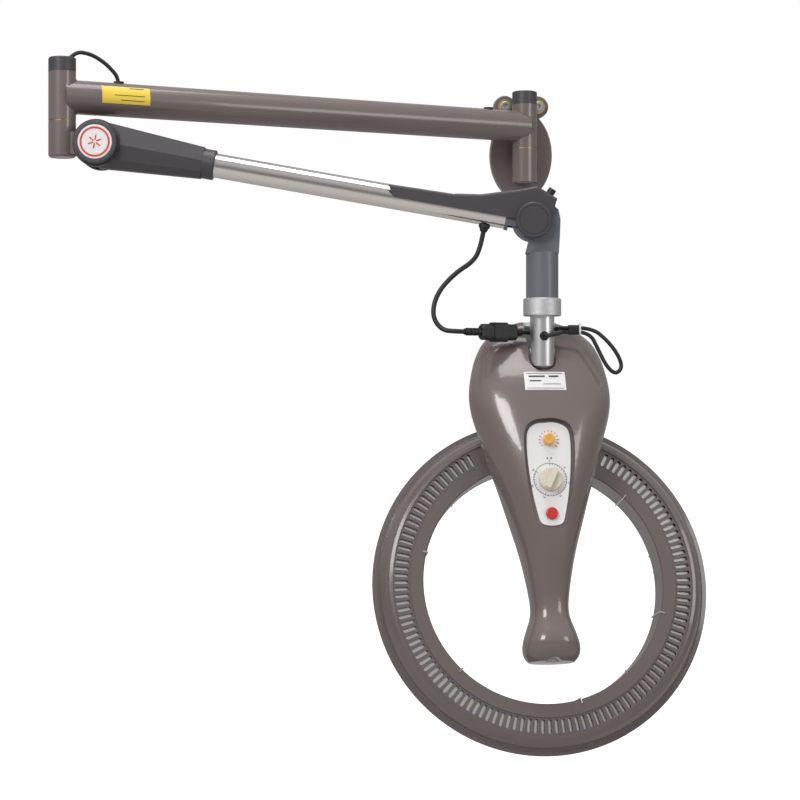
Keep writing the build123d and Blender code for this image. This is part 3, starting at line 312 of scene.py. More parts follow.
@dataclass(frozen=True)
class Finish:
    """One surface finish.

    Args:
        name: The material's name.
        color: Base colour, linear.
        roughness: Lowest roughness.
        metallic: 0 or 1.
        pattern: The fine relief.
        scale: The relief's scale.
        depth: The relief's depth in metres.
        drift: How much the colour wanders.
        smudge: How much handling marks add to the roughness.
        coat: Weight of a clear coat.
        stretch: Direction factors of drawn lines.
        clear: Transmission weight.
    """

    name: str
    color: tuple[float, float, float]
    roughness: float = 0.4
    metallic: float = 0.0
    pattern: Pattern = Pattern.MOULDED
    scale: float = 900.0
    depth: float = 0.00004
    drift: float = 0.08
    smudge: float = 0.08
    coat: float = 0.0
    stretch: tuple[float, float, float] = (1.0, 1.0, 30.0)
    clear: float = 0.0

    def build(self, tools: NodeTools) -> bpy.types.Material:
        """Makes the material.

        Args:
            tools: The shared node groups.

        Returns:
            The material.
        """
        material = bpy.data.materials.new(self.name)
        material.use_nodes = True
        nodes, links = material.node_tree.nodes, material.node_tree.links
        shader = nodes["Principled BSDF"]
        shader.inputs["Metallic"].default_value = self.metallic
        shader.inputs["Coat Weight"].default_value = self.coat
        shader.inputs["Coat Roughness"].default_value = 0.06
        shader.inputs["Transmission Weight"].default_value = self.clear
        tone = nodes.new("ShaderNodeGroup")
        tone.node_tree = tools.tone
        tone.inputs["Color"].default_value = (*self.color, 1)
        tone.inputs["Drift"].default_value = self.drift
        tone.inputs["Roughness"].default_value = self.roughness
        tone.inputs["Smudge"].default_value = self.smudge
        links.new(tone.outputs["Color"], shader.inputs["Base Color"])
        links.new(tone.outputs["Roughness"], shader.inputs["Roughness"])
        if self.pattern is not Pattern.POLISHED:
            self._add_relief(nodes, links, shader, tools)
        return material

    def _add_relief(
        self, nodes: bpy.types.Nodes, links: bpy.types.NodeLinks, shader: bpy.types.ShaderNode, tools: NodeTools
    ) -> None:
        """Adds the bump that the pattern calls for.

        Args:
            nodes: The material's nodes.
            links: The material's links.
            shader: The node whose normal is bumped.
            tools: The shared node groups.
        """
        relief = nodes.new("ShaderNodeGroup")
        if self.pattern is Pattern.BRUSHED:
            relief.node_tree = tools.lines
            relief.inputs["Stretch"].default_value = self.stretch
        else:
            relief.node_tree = tools.relief
            relief.inputs["Coarse Share"].default_value = 0.9 if self.pattern is Pattern.SAND_CAST else 0.3
        relief.inputs["Scale"].default_value = self.scale
        bump = nodes.new("ShaderNodeBump")
        bump.inputs["Distance"].default_value = self.depth
        bump.inputs["Strength"].default_value = 1.0
        links.new(relief.outputs["Height"], bump.inputs["Height"])
        links.new(bump.outputs["Normal"], shader.inputs["Normal"])


TAUPE = (0.175, 0.137, 0.128)
FINISHES = {
    "arm_paint": Finish(
        "arm_paint", (0.165, 0.130, 0.122), 0.26, 0.0, Pattern.ORANGE_PEEL, 420, 0.00006, 0.10, 0.08, 0.5
    ),
    "shell_gloss": Finish("shell_gloss", TAUPE, 0.20, 0.0, Pattern.ORANGE_PEEL, 160, 0.00002, 0.06, 0.07, 0.7),
    "ring_gloss": Finish(
        "ring_gloss", (0.140, 0.112, 0.106), 0.22, 0.0, Pattern.ORANGE_PEEL, 160, 0.00002, 0.05, 0.07, 0.6
    ),
    "charcoal": Finish("charcoal", (0.060, 0.054, 0.060), 0.38, 0.0, Pattern.MOULDED, 1400, 0.00005, 0.10, 0.10),
    "casting": Finish("casting", (0.135, 0.145, 0.165), 0.36, 0.0, Pattern.ORANGE_PEEL, 500, 0.00009, 0.10, 0.10, 0.2),
    "rubber": Finish("rubber", (0.012, 0.012, 0.013), 0.42, 0.0, Pattern.MOULDED, 1800, 0.00004, 0.20, 0.16),
    "chrome": Finish(
        "chrome", (0.78, 0.74, 0.70), 0.07, 1.0, Pattern.BRUSHED, 30, 0.00001, 0.04, 0.05, 0.0, (30, 30, 30)
    ),
    "zinc": Finish("zinc", (0.60, 0.60, 0.61), 0.32, 1.0, Pattern.SAND_CAST, 900, 0.00003, 0.10, 0.15),
    "yellow_zinc": Finish("yellow_zinc", (0.62, 0.47, 0.20), 0.34, 1.0, Pattern.SAND_CAST, 700, 0.00002, 0.35, 0.15),
    "cast_collar": Finish("cast_collar", (0.66, 0.66, 0.66), 0.46, 1.0, Pattern.SAND_CAST, 520, 0.00028, 0.18, 0.15),
    "tube_satin": Finish(
        "tube_satin", (0.80, 0.80, 0.81), 0.26, 1.0, Pattern.BRUSHED, 50, 0.00003, 0.06, 0.12, 0.0, (12, 12, 1)
    ),
    "reflector": Finish(
        "reflector", (0.80, 0.80, 0.80), 0.20, 1.0, Pattern.BRUSHED, 40, 0.00004, 0.08, 0.12, 0.0, (6, 6, 6)
    ),
    "white": Finish("white", (0.80, 0.80, 0.79), 0.30, 0.0, Pattern.MOULDED, 1500, 0.00002, 0.03, 0.08, 0.2),
    "cream": Finish("cream", (0.72, 0.66, 0.54), 0.34, 0.0, Pattern.MOULDED, 1500, 0.00003, 0.06, 0.08, 0.1),
    "amber": Finish("amber", (0.80, 0.40, 0.05), 0.18, 0.0, Pattern.MOULDED, 900, 0.00002, 0.12, 0.05, 0.6),
    "red": Finish("red", (0.62, 0.02, 0.02), 0.22, 0.0, Pattern.MOULDED, 900, 0.00002, 0.06, 0.05, 0.6),
    "quartz": Finish("quartz", (0.80, 0.66, 0.55), 0.12, 0.0, Pattern.POLISHED, drift=0.1, clear=0.6),
    "bronze": Finish("bronze", (0.45, 0.30, 0.14), 0.36, 1.0, Pattern.BRUSHED, 90, 0.00003, 0.1, 0.1),
    "label_yellow": Finish("label_yellow", (0.86, 0.62, 0.06), 0.36, 0.0, Pattern.MOULDED, 700, 0.00001, 0.05, 0.05),
    "label_white": Finish("label_white", (0.82, 0.82, 0.82), 0.36, 0.0, Pattern.MOULDED, 700, 0.00001, 0.04, 0.05),
    "print_grey": Finish("print_grey", (0.07, 0.07, 0.075), 0.40, 0.0, Pattern.MOULDED, 700, 0.00001, 0.05, 0.05),
    "print_red": Finish("print_red", (0.65, 0.05, 0.04), 0.36, 0.0, Pattern.MOULDED, 700, 0.00001, 0.05, 0.05),
    "print_blue": Finish("print_blue", (0.10, 0.18, 0.55), 0.36, 0.0, Pattern.MOULDED, 700, 0.00001, 0.05, 0.05),
    "weld": Finish("weld", (0.155, 0.122, 0.115), 0.34, 0.0, Pattern.SAND_CAST, 500, 0.0003, 0.10, 0.10),
}
NODE_FINISH = {
    "arm_paint": ("wall_plate", "upper_arm_tube", "wall_sleeve", "elbow_sleeve", "elbow_knuckle"),
    "shell_gloss": ("front_shell",),
    "ring_gloss": ("ring_shell",),
    "charcoal": (
        "wall_post_cap", "elbow_post_cap", "arm_cover_near", "arm_cover_far", "arm_collar",
        "lift_pivot_caps", "end_pivot_caps", "shield_cover", "timer_unit", "heat_control", "power_switch",
    ),
    "casting": ("arm_root_fork", "arm_end_fork", "drop_casting"),
    "rubber": (
        "arm_cord_grommets", "jumper_cord", "balance_adjuster", "lead_grommet", "lead_socket",
        "lead_plug", "tube_grommet", "lead_sleeve",
    ),
    "chrome": ("chrome_tube", "guard_wires"),
    "zinc": (
        "wall_bolts", "wall_post_bolt", "elbow_post_bolt", "knuckle_pins", "end_pivot_pin", "level_rod",
        "bracket_link_pin", "tilt_pin", "tilt_bracket", "shell_screws",
    ),
    "yellow_zinc": ("wall_washers",),
    "cast_collar": ("clamp_collar", "tilt_clevis"),
    "tube_satin": ("head_tube",),
    "reflector": ("ring_reflector",),
    "white": ("lift_badge", "back_cover", "control_panel", "heater_holders", "cable_tie"),
    "cream": ("timer_knob",),
    "amber": ("heat_knob",),
    "red": ("power_button",),
    "quartz": ("heater_tubes",),
    "bronze": ("sleeve_bushes", "friction_discs", "tube_bush"),
}


class Wardrobe:
    """Holds the built materials and dresses nodes and pieces with them."""

    def __init__(self) -> None:
        """Builds every finish once."""
        tools = NodeTools()
        self.materials = {name: finish.build(tools) for name, finish in FINISHES.items()}

    def dress(self, piece: bpy.types.Object, name: str) -> None:
        """Gives a piece one finish all over.

        Args:
            piece: The piece.
            name: The finish's name.
        """
        piece.data.materials.clear()
        piece.data.materials.append(self.materials[name])

    def dress_nodes(self, nodes: dict[str, bpy.types.Object]) -> None:
        """Gives every carried-over node its finish.

        Args:
            nodes: The nodes by name.
        """
        for name, members in NODE_FINISH.items():
            for member in members:
                self.dress(nodes[member], name)
                LOG.info("dressed %s in %s", member, name)


# ---------------------------------------------------------------- mesh helpers
def finish_mesh(form: bmesh.types.BMesh, frame: Matrix, name: str) -> bpy.types.Object:
    """Puts a form made in millimetres into its frame and makes it an object.

    Args:
        form: The form; it is freed.
        frame: The frame it was made in, in millimetres.
        name: The piece's name.

    Returns:
        The new object, at the origin.
    """
    bmesh.ops.transform(form, matrix=Matrix.Scale(MM, 4) @ frame, verts=form.verts)
    bmesh.ops.recalc_face_normals(form, faces=form.faces)
    mesh = bpy.data.meshes.new(name)
    form.to_mesh(mesh)
    form.free()
    piece = bpy.data.objects.new(name, mesh)
    bpy.context.scene.collection.objects.link(piece)
    return piece


def thicken(form: bmesh.types.BMesh, depth: float) -> None:
    """Turns an open sheet into a thin closed plate.

    Args:
        form: The form that holds only the sheet.
        depth: The plate's thickness.
    """
    bmesh.ops.solidify(form, geom=form.faces[:], thickness=depth)


def flat_ring(form: bmesh.types.BMesh, frame: Matrix, inner: float, outer: float, height: float) -> None:
    """Adds a flat ring with its axis on Z.

    Args:
        form: The form it is added to.
        frame: Where it lies in the form.
        inner: Inner radius.
        outer: Outer radius.
        height: Thickness.
    """
    corners = ((inner, 0, 0), (outer, 0, 0), (outer, 0, height), (inner, 0, height))
    start = [form.verts.new(frame @ Vector(corner)) for corner in corners]
    edges = [form.edges.new((start[i], start[(i + 1) % 4])) for i in range(4)]
    axis = frame.to_3x3() @ Vector((0, 0, 1))
    bmesh.ops.spin(
        form, geom=start + edges, cent=frame.to_translation(), axis=axis, angle=2 * math.pi, steps=RING_STEPS,
        use_merge=True,
    )


def bar(form: bmesh.types.BMesh, frame: Matrix, size: tuple[float, float, float]) -> None:
    """Adds a block of a size, centred in the frame.

    Args:
        form: The form it is added to.
        frame: Where it lies in the form.
        size: Its size along each axis.
    """
    made = bmesh.ops.create_cube(form, size=1.0)
    bmesh.ops.scale(form, vec=size, verts=made["verts"])
    bmesh.ops.transform(form, matrix=frame, verts=made["verts"])


def disc(form: bmesh.types.BMesh, frame: Matrix, radius: float, height: float) -> None:
    """Adds a low round disc on Z, centred in the frame.

    Args:
        form: The form it is added to.
        frame: Where it lies in the form.
        radius: Its radius at the bottom.
        height: Its height.
    """
    bmesh.ops.create_cone(
        form, cap_ends=True, segments=DISC_SIDES, radius1=radius, radius2=radius * DISC_TAPER, depth=height,
        matrix=frame,
    )


class Workshop:
    """What each sub-assembly needs to make its pieces."""

    def __init__(self, nodes: dict[str, bpy.types.Object], wardrobe: Wardrobe) -> None:
        """Keeps the nodes and the materials.

        Args:
            nodes: The nodes by name.
            wardrobe: The built materials.
        """
        self.nodes = nodes
        self.wardrobe = wardrobe

    def deliver(self, piece: bpy.types.Object, body: str, finish: str, slot: str) -> bpy.types.Object:
        """Dresses a piece and puts it on its body.

        Args:
            piece: The piece.
            body: The body that it moves with.
            finish: The finish's name.
            slot: Not used.

        Returns:
            The piece.
        """
        self.wardrobe.dress(piece, finish)
        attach(piece, body)
        LOG.info("made %s on %s", piece.name, body)
        return piece


# ---------------------------------------------------------------- first arm
@dataclass
class FirstArm:
    """Weld beads and the label of the first arm."""

    shop: Workshop
    radius: float = 21.0
    sleeve_radius: float = 17.0
    middle: float = 35.5
    length: float = 650.0
    bead: float = 1.3
    beads: int = 26
    bead_reach: float = 0.98
    label_gap: float = 45.0
    label_length: float = 62.0
    label_height: float = 23.0
    label_centre: float = 4.0
    label_lift: float = 0.10
    label_depth: float = 0.25
    print_margin: float = 0.12
    print_lift: float = 0.36
    print_depth: float = 0.1
    wrap_steps: int = 14

    def build(self) -> None:
        """Makes every piece of the first arm."""
        for end, name in ((0.0, "wall"), (self.length, "elbow")):
            for side in (1, -1):
                self.weld_bead(end, side, f"weld_bead_{name}_{'top' if side > 0 else 'under'}")
        self.label()

    def weld_bead(self, end: float, side: int, name: str) -> bpy.types.Object:
        """A rippled bead where the tube's cope meets a sleeve.

        Args:
            end: Where the sleeve stands along the arm.
            side: 1 above, -1 below.
            name: The piece's name.

        Returns:
            The bead.
        """
        form = bmesh.new()
        inward = 1 if end == 0 else -1
        limit = math.asin(self.bead_reach)
        for i in range(self.beads):
            swing = -limit + 2 * limit * i / (self.beads - 1)
            across = self.sleeve_radius * math.sin(swing)
            height = side * math.sqrt(self.radius**2 - across**2)
            place = shift(end + inward * self.sleeve_radius * math.cos(swing), across, self.middle + height)
            bmesh.ops.create_icosphere(form, subdivisions=1, radius=self.bead, matrix=place)
        piece = finish_mesh(form, FRAMES.arm1, name)
        return self.shop.deliver(piece, "upper_arm", "weld", "taupe_paint")

    def label(self) -> None:
        """Yellow label wrapped on the tube's front, with plain printed bars."""
        start = self.length - self.label_gap - self.label_length
        piece = self.wrapped(
            "arm_label", start, self.label_length, self.label_centre, self.label_height, self.label_lift,
            self.label_depth,
        )
        self.shop.deliver(piece, "upper_arm", "label_yellow", "cream_plastic")
        rows = ((0.30, 9.0, 1.4), (0.62, -1.0, 1.0), (0.50, -7.0, 1.0))
        for i, (share, offset, height) in enumerate(rows):
            begin = start + self.print_margin * self.label_length
            bar_piece = self.wrapped(
                f"arm_label_print_{i}", begin, share * self.label_length, self.label_centre + offset, height,
                self.print_lift, self.print_depth,
            )
            self.shop.deliver(bar_piece, "upper_arm", "print_grey", "charcoal_plastic")

    def wrapped(
        self, name: str, start: float, length: float, centre: float, height: float, lift: float, depth: float
    ) -> bpy.types.Object:
        """A thin patch bent round the tube.

        Args:
            name: The piece's name.
            start: Where it begins along the arm.
            length: Its length along the arm.
            centre: How far its middle is above the tube's front line, along the surface.
            height: Its height along the surface.
            lift: Its distance from the tube.
            depth: Its thickness.

        Returns:
            The patch.
        """
        form = bmesh.new()
        out = self.radius + lift
        first = (centre - height / 2) / self.radius
        a = form.verts.new((start, out * math.cos(first), out * math.sin(first)))
        b = form.verts.new((start + length, out * math.cos(first), out * math.sin(first)))
        edge = form.edges.new((a, b))
        bmesh.ops.spin(
            form, geom=[a, b, edge], axis=(1, 0, 0), cent=(0, 0, 0), angle=height / self.radius,
            steps=self.wrap_steps,
        )
        thicken(form, depth)
        return finish_mesh(form, FRAMES.arm1 @ shift(0, 0, self.middle), name)


# ---------------------------------------------------------------- second arm
@dataclass
class SecondArm:
    """Badge ring and centre mark of the second arm."""

    shop: Workshop
    face: float = 34.65
    ring_in: float = 16.2
    ring_out: float = 18.4
    ring_height: float = 0.5
    mark_step: int = 60
    mark_out: float = 5.2
    mark_lift: float = 0.15
    mark_size: tuple[float, float, float] = (1.6, 6.4, 0.5)

    def build(self) -> None:
        """Makes the badge's red ring and its plain centre mark."""
        front = FRAMES.arm2 @ shift(0, -self.face, 0) @ turn("X", 90)
        form = bmesh.new()
        flat_ring(form, Matrix.Identity(4), self.ring_in, self.ring_out, self.ring_height)
        self.shop.deliver(finish_mesh(form, front, "badge_ring"), "spring_arm", "print_red", "red_plastic")
        form = bmesh.new()
        for angle in range(0, 360, self.mark_step):
            bar(form, turn("Z", angle) @ shift(0, self.mark_out, self.mark_lift), self.mark_size)
        self.shop.deliver(finish_mesh(form, front, "badge_star"), "spring_arm", "print_red", "red_plastic")


# ---------------------------------------------------------------- head
@dataclass
class Head:
    """Labels and dial marks of the head."""

    shop: Workshop
    panel_face: float = -13.5
    heat_z: float = -116.0
    timer_z: float = -165.0
    label_middle: float = -40.0
    label_size: tuple[float, float] = (51.0, 25.0)
    label_lift: float = 0.35
    print_lift: float = 0.65
    drape_cells: tuple[int, int] = (24, 12)
    drape_start: float = -80.0
    drape_depth: float = 0.2
    mark_lift: float = 0.12
    heat_sweep: float = 260.0
    heat_last: int = 12
    heat_inner: float = 10.2
    timer_sweep: float = 300.0
    timer_ticks: int = 30
    timer_edge: float = 19.9
    dial_in: float = 20.0
    dial_out: float = 20.5
    number_count: int = 7
    number_turn: float = 50.0
    number_step: int = 10
    number_out: float = 22.4
    number_size: float = 3.2
    lamp_z: float = -138.5
    lamp_spread: float = 2.4
    lamp_radius: float = 1.1

    def build(self) -> None:
        """Makes every piece of the head."""
        self.rating_label()
        self.heat_marks()
        self.timer_marks()
        self.lamp_dots()

    def draped(self, name: str, x: float, z: float, width: float, height: float, lift: float) -> bpy.types.Object:
        """A thin patch laid on the front shell.

        Args:
            name: The piece's name.
            x: Its middle across the head.
            z: Its middle up the head.
            width: Its width.
            height: Its height.
            lift: Its distance from the shell.

        Returns:
            The patch.
        """
        shell = BVHTree.FromObject(self.shop.nodes["front_shell"], bpy.context.evaluated_depsgraph_get())
        form = bmesh.new()
        across, up = self.drape_cells
        bmesh.ops.create_grid(form, x_segments=across, y_segments=up, size=0.5)
        bmesh.ops.scale(form, vec=(width, height, 1), verts=form.verts)
        bmesh.ops.transform(form, matrix=shift(x, self.drape_start, z) @ turn("X", 90), verts=form.verts)
        inward = FRAMES.head.to_3x3() @ Vector((0, 1, 0))
        for vert in form.verts:
            hit = shell.ray_cast(metres(FRAMES.head, vert.co), inward)
            if hit[0] is not None:
                vert.co.y += hit[3] / MM - lift
        bmesh.ops.recalc_face_normals(form, faces=form.faces)
        thicken(form, self.drape_depth)
        return finish_mesh(form, FRAMES.head, name)

    def rating_label(self) -> None:
        """White label under the slot, with a printed frame and plain bars."""
        width, height = self.label_size
        piece = self.draped("rating_label", 0, self.label_middle, width, height, self.label_lift)
        self.shop.deliver(piece, "head", "label_white", "white_plastic")
        lines = [(-10, 6, 20, 2.2), (11, 6, 12, 2.2), (-12, 0, 14, 1.6), (8, -4.5, 22, 0.7)]
        lines += [(0, 10.3, 45, 0.6), (0, -10.3, 45, 0.6)]
        for i, (x, z, wide, high) in enumerate(lines):
            mark = self.draped(f"rating_print_{i}", x, self.label_middle + z, wide, high, self.print_lift)
            self.shop.deliver(mark, "head", "print_grey", "charcoal_plastic")

    def heat_marks(self) -> None:
        """Growing arc of ticks round the heat knob, from blue to red."""
        front = FRAMES.head @ shift(0, self.panel_face, self.heat_z) @ turn("X", 90)
        for finish, first, last in (("print_blue", 0, 4), ("print_red", 5, self.heat_last)):
            form = bmesh.new()
            for i in range(first, last + 1):
                angle = self.heat_sweep / 2 - i * self.heat_sweep / self.heat_last
                length = 1.4 + 0.18 * i
                place = turn("Z", angle) @ shift(0, self.heat_inner + length / 2, self.mark_lift)
                bar(form, place, (0.9, length, 0.3))
            piece = finish_mesh(form, front, f"heat_marks_{finish}")
            self.shop.deliver(piece, "head", finish, "red_plastic")

    def timer_marks(self) -> None:
        """Dial ring, minute ticks and numbers round the timer's knob."""
        front = FRAMES.head @ shift(0, self.panel_face, self.timer_z) @ turn("X", 90)
        form = bmesh.new()
        flat_ring(form, shift(0, 0, 0.02), self.dial_in, self.dial_out, 0.22)
        for i in range(self.timer_ticks + 1):
            angle = -i * self.timer_sweep / self.timer_ticks
            length = 2.6 if i % 5 == 0 else 1.5
            place = turn("Z", angle) @ shift(0, self.timer_edge - length / 2, self.mark_lift)
            bar(form, place, (0.6, length, 0.22))
        self.shop.deliver(finish_mesh(form, front, "timer_ticks"), "head", "print_grey", "charcoal_plastic")
        for i in range(self.number_count):
            minutes = i * self.number_step
            place = front @ turn("Z", -i * self.number_turn) @ shift(0, self.number_out, 0.1)
            self.number(str(minutes), place, f"timer_number_{minutes}")

    def number(self, text: str, frame: Matrix, name: str) -> None:
        """One number of the dial.

        Args:
            text: What it says.
            frame: Where it stands, in millimetres.
            name: The piece's name.
        """
        curve = bpy.data.curves.new(name + "_curve", "FONT")
        curve.body = text
        curve.size = self.number_size
        curve.align_x = "CENTER"
        curve.extrude = 0.06
        made = bpy.data.objects.new(name + "_curve", curve)
        bpy.context.scene.collection.objects.link(made)
        bpy.context.view_layer.update()
        mesh = bpy.data.meshes.new_from_object(made.evaluated_get(bpy.context.evaluated_depsgraph_get()))
        bpy.data.objects.remove(made)
        form = bmesh.new()
        form.from_mesh(mesh)
        bmesh.ops.remove_doubles(form, verts=form.verts, dist=0.0005)
        self.shop.deliver(finish_mesh(form, frame, name), "head", "print_grey", "charcoal_plastic")

    def lamp_dots(self) -> None:
        """Two small dark dots between the heat knob and the timer."""
        front = FRAMES.head @ shift(0, self.panel_face, self.lamp_z) @ turn("X", 90)
        form = bmesh.new()
        for x in (-self.lamp_spread, self.lamp_spread):
            disc(form, shift(x, 0, self.mark_lift), self.lamp_radius, 0.4)
        self.shop.deliver(finish_mesh(form, front, "lamp_dots"), "head", "print_grey", "charcoal_plastic")


# ---------------------------------------------------------------- leads
@dataclass
class Leads:
    """The supply lead and the head's lead."""

    shop: Workshop
    supply_radius: float = 3.0
    head_radius: float = 2.5
    strand_up: float = 30.0
    strand_y: float = 7.0
    strand_step: float = 5.1
    supply_split: float = 95.0
    supply_bends: list[tuple[float, float, float]] = field(
        default_factory=lambda: [(-84, 7, 112), (-108, 4, 97), (-131, 2, 72), (-138, -3, 44), (-127, -10, 26)]
    )

    def supply_route(self) -> list[Vector]:
        """The supply lead's route, from the arm's grommet to the socket.

        Returns:
            Control points, in metres.
        """
        arm = [metres(FRAMES.arm2, (487, 0, z)) for z in (-23.1, -41)]
        bends = [metres(FRAMES.head_post, p) for p in self.supply_bends]
        return arm + bends + [metres(FRAMES.connector, (x, 0, 0)) for x in (-80, -60)]

    def head_route(self) -> list[Vector]:
        """The head lead's route, behind the tube, round its loop and into the tube's front.

        Returns:
            Control points, in metres.
        """
        low = self.strand_up - self.strand_step
        points = [(22, self.strand_y, self.strand_up), (64, self.strand_y, self.strand_up)]
        points += [(82, 0, 14), (95, -4, -4), (100, -5, -20), (91, -5, -28), (80, -4, -18), (71, 1, 2)]
        points += [(61, self.strand_y, low), (25, self.strand_y, low), (22, -12, 24), (14, -25, 21)]
        points += [(0, -25, 19), (0, -13, 19)]
        start = [metres(FRAMES.connector, (x, 0, 0)) for x in (12, 43)]
        return start + [metres(FRAMES.head_post, p) for p in points]

    @staticmethod
    def curve_on(name: str, route: list[Vector]) -> bpy.types.Object:
        """A smooth curve on control points.

        Args:
            name: Name for the curve.
            route: Control points, in metres.

        Returns:
            The object that holds the curve.
        """
        curve = bpy.data.curves.new(name + "_route", "CURVE")
        curve.dimensions = "3D"
        spline = curve.splines.new("NURBS")
        spline.points.add(len(route) - 1)
        for point, place in zip(spline.points, route):
            point.co = (*place, 1)
        spline.order_u = 3
        spline.use_endpoint_u = True
        spline.resolution_u = 12
        holder = bpy.data.objects.new(name + "_route", curve)
        bpy.context.scene.collection.objects.link(holder)
        bpy.context.view_layer.update()
        return holder

    def centreline(self, name: str, route: list[Vector]) -> list[Vector]:
        """Points of the smooth curve on a route.

        Args:
            name: Name for the curve.
            route: Control points, in metres.

        Returns:
            The centreline's points.
        """
        holder = self.curve_on(name, route)
        line = bpy.data.meshes.new_from_object(holder.evaluated_get(bpy.context.evaluated_depsgraph_get()))
        bpy.data.objects.remove(holder)
        return [vert.co.copy() for vert in line.vertices]

    def tube(self, name: str, line: list[Vector], radius: float) -> bpy.types.Object:
        """A round tube along a centreline.

        Args:
            name: The piece's name.
            line: The centreline's points, in metres.
            radius: The tube's radius in millimetres.

        Returns:
            The piece.
        """
        holder = self.curve_on(name, line)
        holder.data.splines[0].resolution_u = 1
        holder.data.bevel_depth = radius * MM
        holder.data.bevel_resolution = 5
        holder.data.use_fill_caps = True
        bpy.context.view_layer.update()
        mesh = bpy.data.meshes.new_from_object(holder.evaluated_get(bpy.context.evaluated_depsgraph_get()))
        bpy.data.objects.remove(holder)
        mesh.name = name
        piece = bpy.data.objects.new(name, mesh)
        bpy.context.scene.collection.objects.link(piece)
        for face in mesh.polygons:
            face.use_smooth = True
        self.shop.wardrobe.dress(piece, "rubber")
        return piece

    @staticmethod
    def length(path: list[Vector]) -> float:
        """Length of a centreline.

        Args:
            path: The centreline's points, in metres.

        Returns:
            The length in metres.
        """
        return sum((b - a).length for a, b in zip(path, path[1:]))

    def build(self) -> None:
        """Makes both leads."""
        self.supply_lead()
        self.head_lead()

    def supply_lead(self) -> None:
        """The lead from the arm's grommet to the socket, in two runs that meet where it hangs free."""
        line = self.centreline("supply_lead", self.supply_route())
        meet = min(range(len(line)), key=lambda i: abs(self.length(line[: i + 1]) - self.supply_split * MM))
        upper, lower = line[: meet + 1], line[meet:]
        first = self.tube("supply_lead_upper", upper, self.supply_radius)
        second = self.tube("supply_lead_lower", lower, self.supply_radius)
        for piece, run, far_end, others in (
            (first, upper, "object", []),
            (second, lower, "connector", ["lead_socket", "lead_plug"]),
        ):
            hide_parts("supply_lead")
            self.length(run)
        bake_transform(first)
        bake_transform(second)
        LOG.info("supply lead is %.3f m", self.length(line))

    def head_lead(self) -> None:
        """The lead from the plug, through its loop, into the tube."""
        line = self.centreline("head_lead", self.head_route())
        piece = self.tube("head_lead_run", line, self.head_radius)
        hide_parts("head_lead")
        self.length(line)
        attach(piece, "head_post")
        LOG.info("head lead is %.3f m", self.length(line))


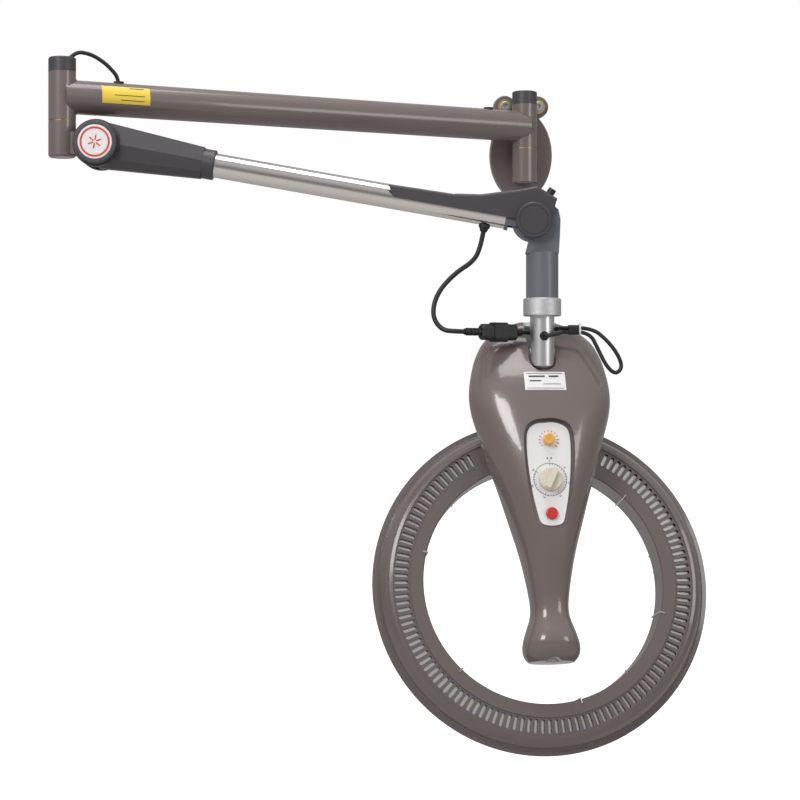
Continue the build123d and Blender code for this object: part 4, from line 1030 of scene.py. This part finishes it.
# ---------------------------------------------------------------- studio
@dataclass
class Studio:
    """Camera, light and floor."""

    camera_place: tuple[float, float, float] = (-0.4576, -2.756, -0.340)
    camera_turn: float = -6.0
    lens: float = 90.0
    floor_height: float = -1.15

    def build(self) -> None:
        """Makes the camera, the lights and the floor."""
        self.camera()
        self.world()
        self.floor()
        self.light("key", (-1.9, -2.4, 1.3), (-0.25, -0.2, -0.35), 1.2, 44)
        self.light("fill", (1.8, -2.2, 0.4), (-0.2, -0.2, -0.4), 1.0, 12)
        self.light("top", (-0.3, -0.6, 1.9), (-0.3, -0.25, -0.2), 1.2, 20)
        bpy.context.scene.view_settings.view_transform = "Standard"
        bpy.context.scene.view_settings.look = "None"

    def camera(self) -> None:
        """Level camera in front of the wall."""
        data = bpy.data.cameras.new("camera")
        data.lens = self.lens
        data.sensor_width = 36.0
        made = bpy.data.objects.new("camera", data)
        made.location = self.camera_place
        made.rotation_euler = (math.radians(90), 0, math.radians(self.camera_turn))
        bpy.context.scene.collection.objects.link(made)
        bpy.context.scene.camera = made

    def light(self, name: str, place: Sequence[float], aim: Sequence[float], size: float, power: float) -> None:
        """A soft square light aimed at a point.

        Args:
            name: The light's name.
            place: Where it stands, in metres.
            aim: The point it is aimed at, in metres.
            size: Its side in metres.
            power: Its power in watts.
        """
        data = bpy.data.lights.new(name, "AREA")
        data.energy = power
        data.size = size
        made = bpy.data.objects.new(name, data)
        made.location = place
        made.rotation_euler = (Vector(aim) - Vector(place)).to_track_quat("-Z", "Y").to_euler()
        bpy.context.scene.collection.objects.link(made)

    def world(self) -> None:
        """White surround that is a little darker below, so that metal has something to mirror."""
        world = bpy.data.worlds.new("studio")
        bpy.context.scene.world = world
        world.use_nodes = True
        nodes, links = world.node_tree.nodes, world.node_tree.links
        back = nodes["Background"]
        place = nodes.new("ShaderNodeTexCoord")
        split = nodes.new("ShaderNodeSeparateXYZ")
        links.new(place.outputs["Generated"], split.inputs[0])
        ramp = nodes.new("ShaderNodeValToRGB")
        ramp.color_ramp.elements[0].position = 0.35
        ramp.color_ramp.elements[0].color = (0.07, 0.06, 0.055, 1)
        ramp.color_ramp.elements[1].position = 0.75
        ramp.color_ramp.elements[1].color = (0.52, 0.52, 0.53, 1)
        half = nodes.new("ShaderNodeMath")
        half.operation = "MULTIPLY_ADD"
        half.inputs[1].default_value = 0.5
        half.inputs[2].default_value = 0.5
        links.new(split.outputs["Z"], half.inputs[0])
        links.new(half.outputs[0], ramp.inputs["Fac"])
        rays = nodes.new("ShaderNodeLightPath")
        mix = nodes.new("ShaderNodeMix")
        mix.data_type = "RGBA"
        mix.inputs["B"].default_value = (1, 1, 1, 1)
        links.new(rays.outputs["Is Camera Ray"], mix.inputs["Factor"])
        links.new(ramp.outputs["Color"], mix.inputs["A"])
        links.new(mix.outputs["Result"], back.inputs["Color"])
        back.inputs["Strength"].default_value = 1.0

    def floor(self) -> None:
        """Large pale floor under the head."""
        form = bmesh.new()
        bmesh.ops.create_grid(form, x_segments=1, y_segments=1, size=30.0)
        mesh = bpy.data.meshes.new("floor")
        bmesh.ops.translate(form, vec=(0, 20, self.floor_height), verts=form.verts)
        form.to_mesh(mesh)
        form.free()
        made = bpy.data.objects.new("floor", mesh)
        bpy.context.scene.collection.objects.link(made)
        material = bpy.data.materials.new("floor")
        material.use_nodes = True
        shader = material.node_tree.nodes["Principled BSDF"]
        shader.inputs["Base Color"].default_value = (0.55, 0.54, 0.53, 1)
        shader.inputs["Roughness"].default_value = 0.8
        shader.inputs["Emission Color"].default_value = (1, 1, 1, 1)
        rays = material.node_tree.nodes.new("ShaderNodeLightPath")
        material.node_tree.links.new(rays.outputs["Is Camera Ray"], shader.inputs["Emission Strength"])
        mesh.materials.append(material)


def main() -> None:
    """Builds the dressed model."""
    logging.basicConfig(level=logging.INFO, format="%(message)s")
    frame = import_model()
    wardrobe = Wardrobe()
    wardrobe.dress_nodes(frame["nodes"])
    shop = Workshop(frame["nodes"], wardrobe)
    for part in (FirstArm(shop), SecondArm(shop), Head(shop), Leads(shop)):
        part.build()
    Studio().build()


if __name__ == "__main__":
    main()
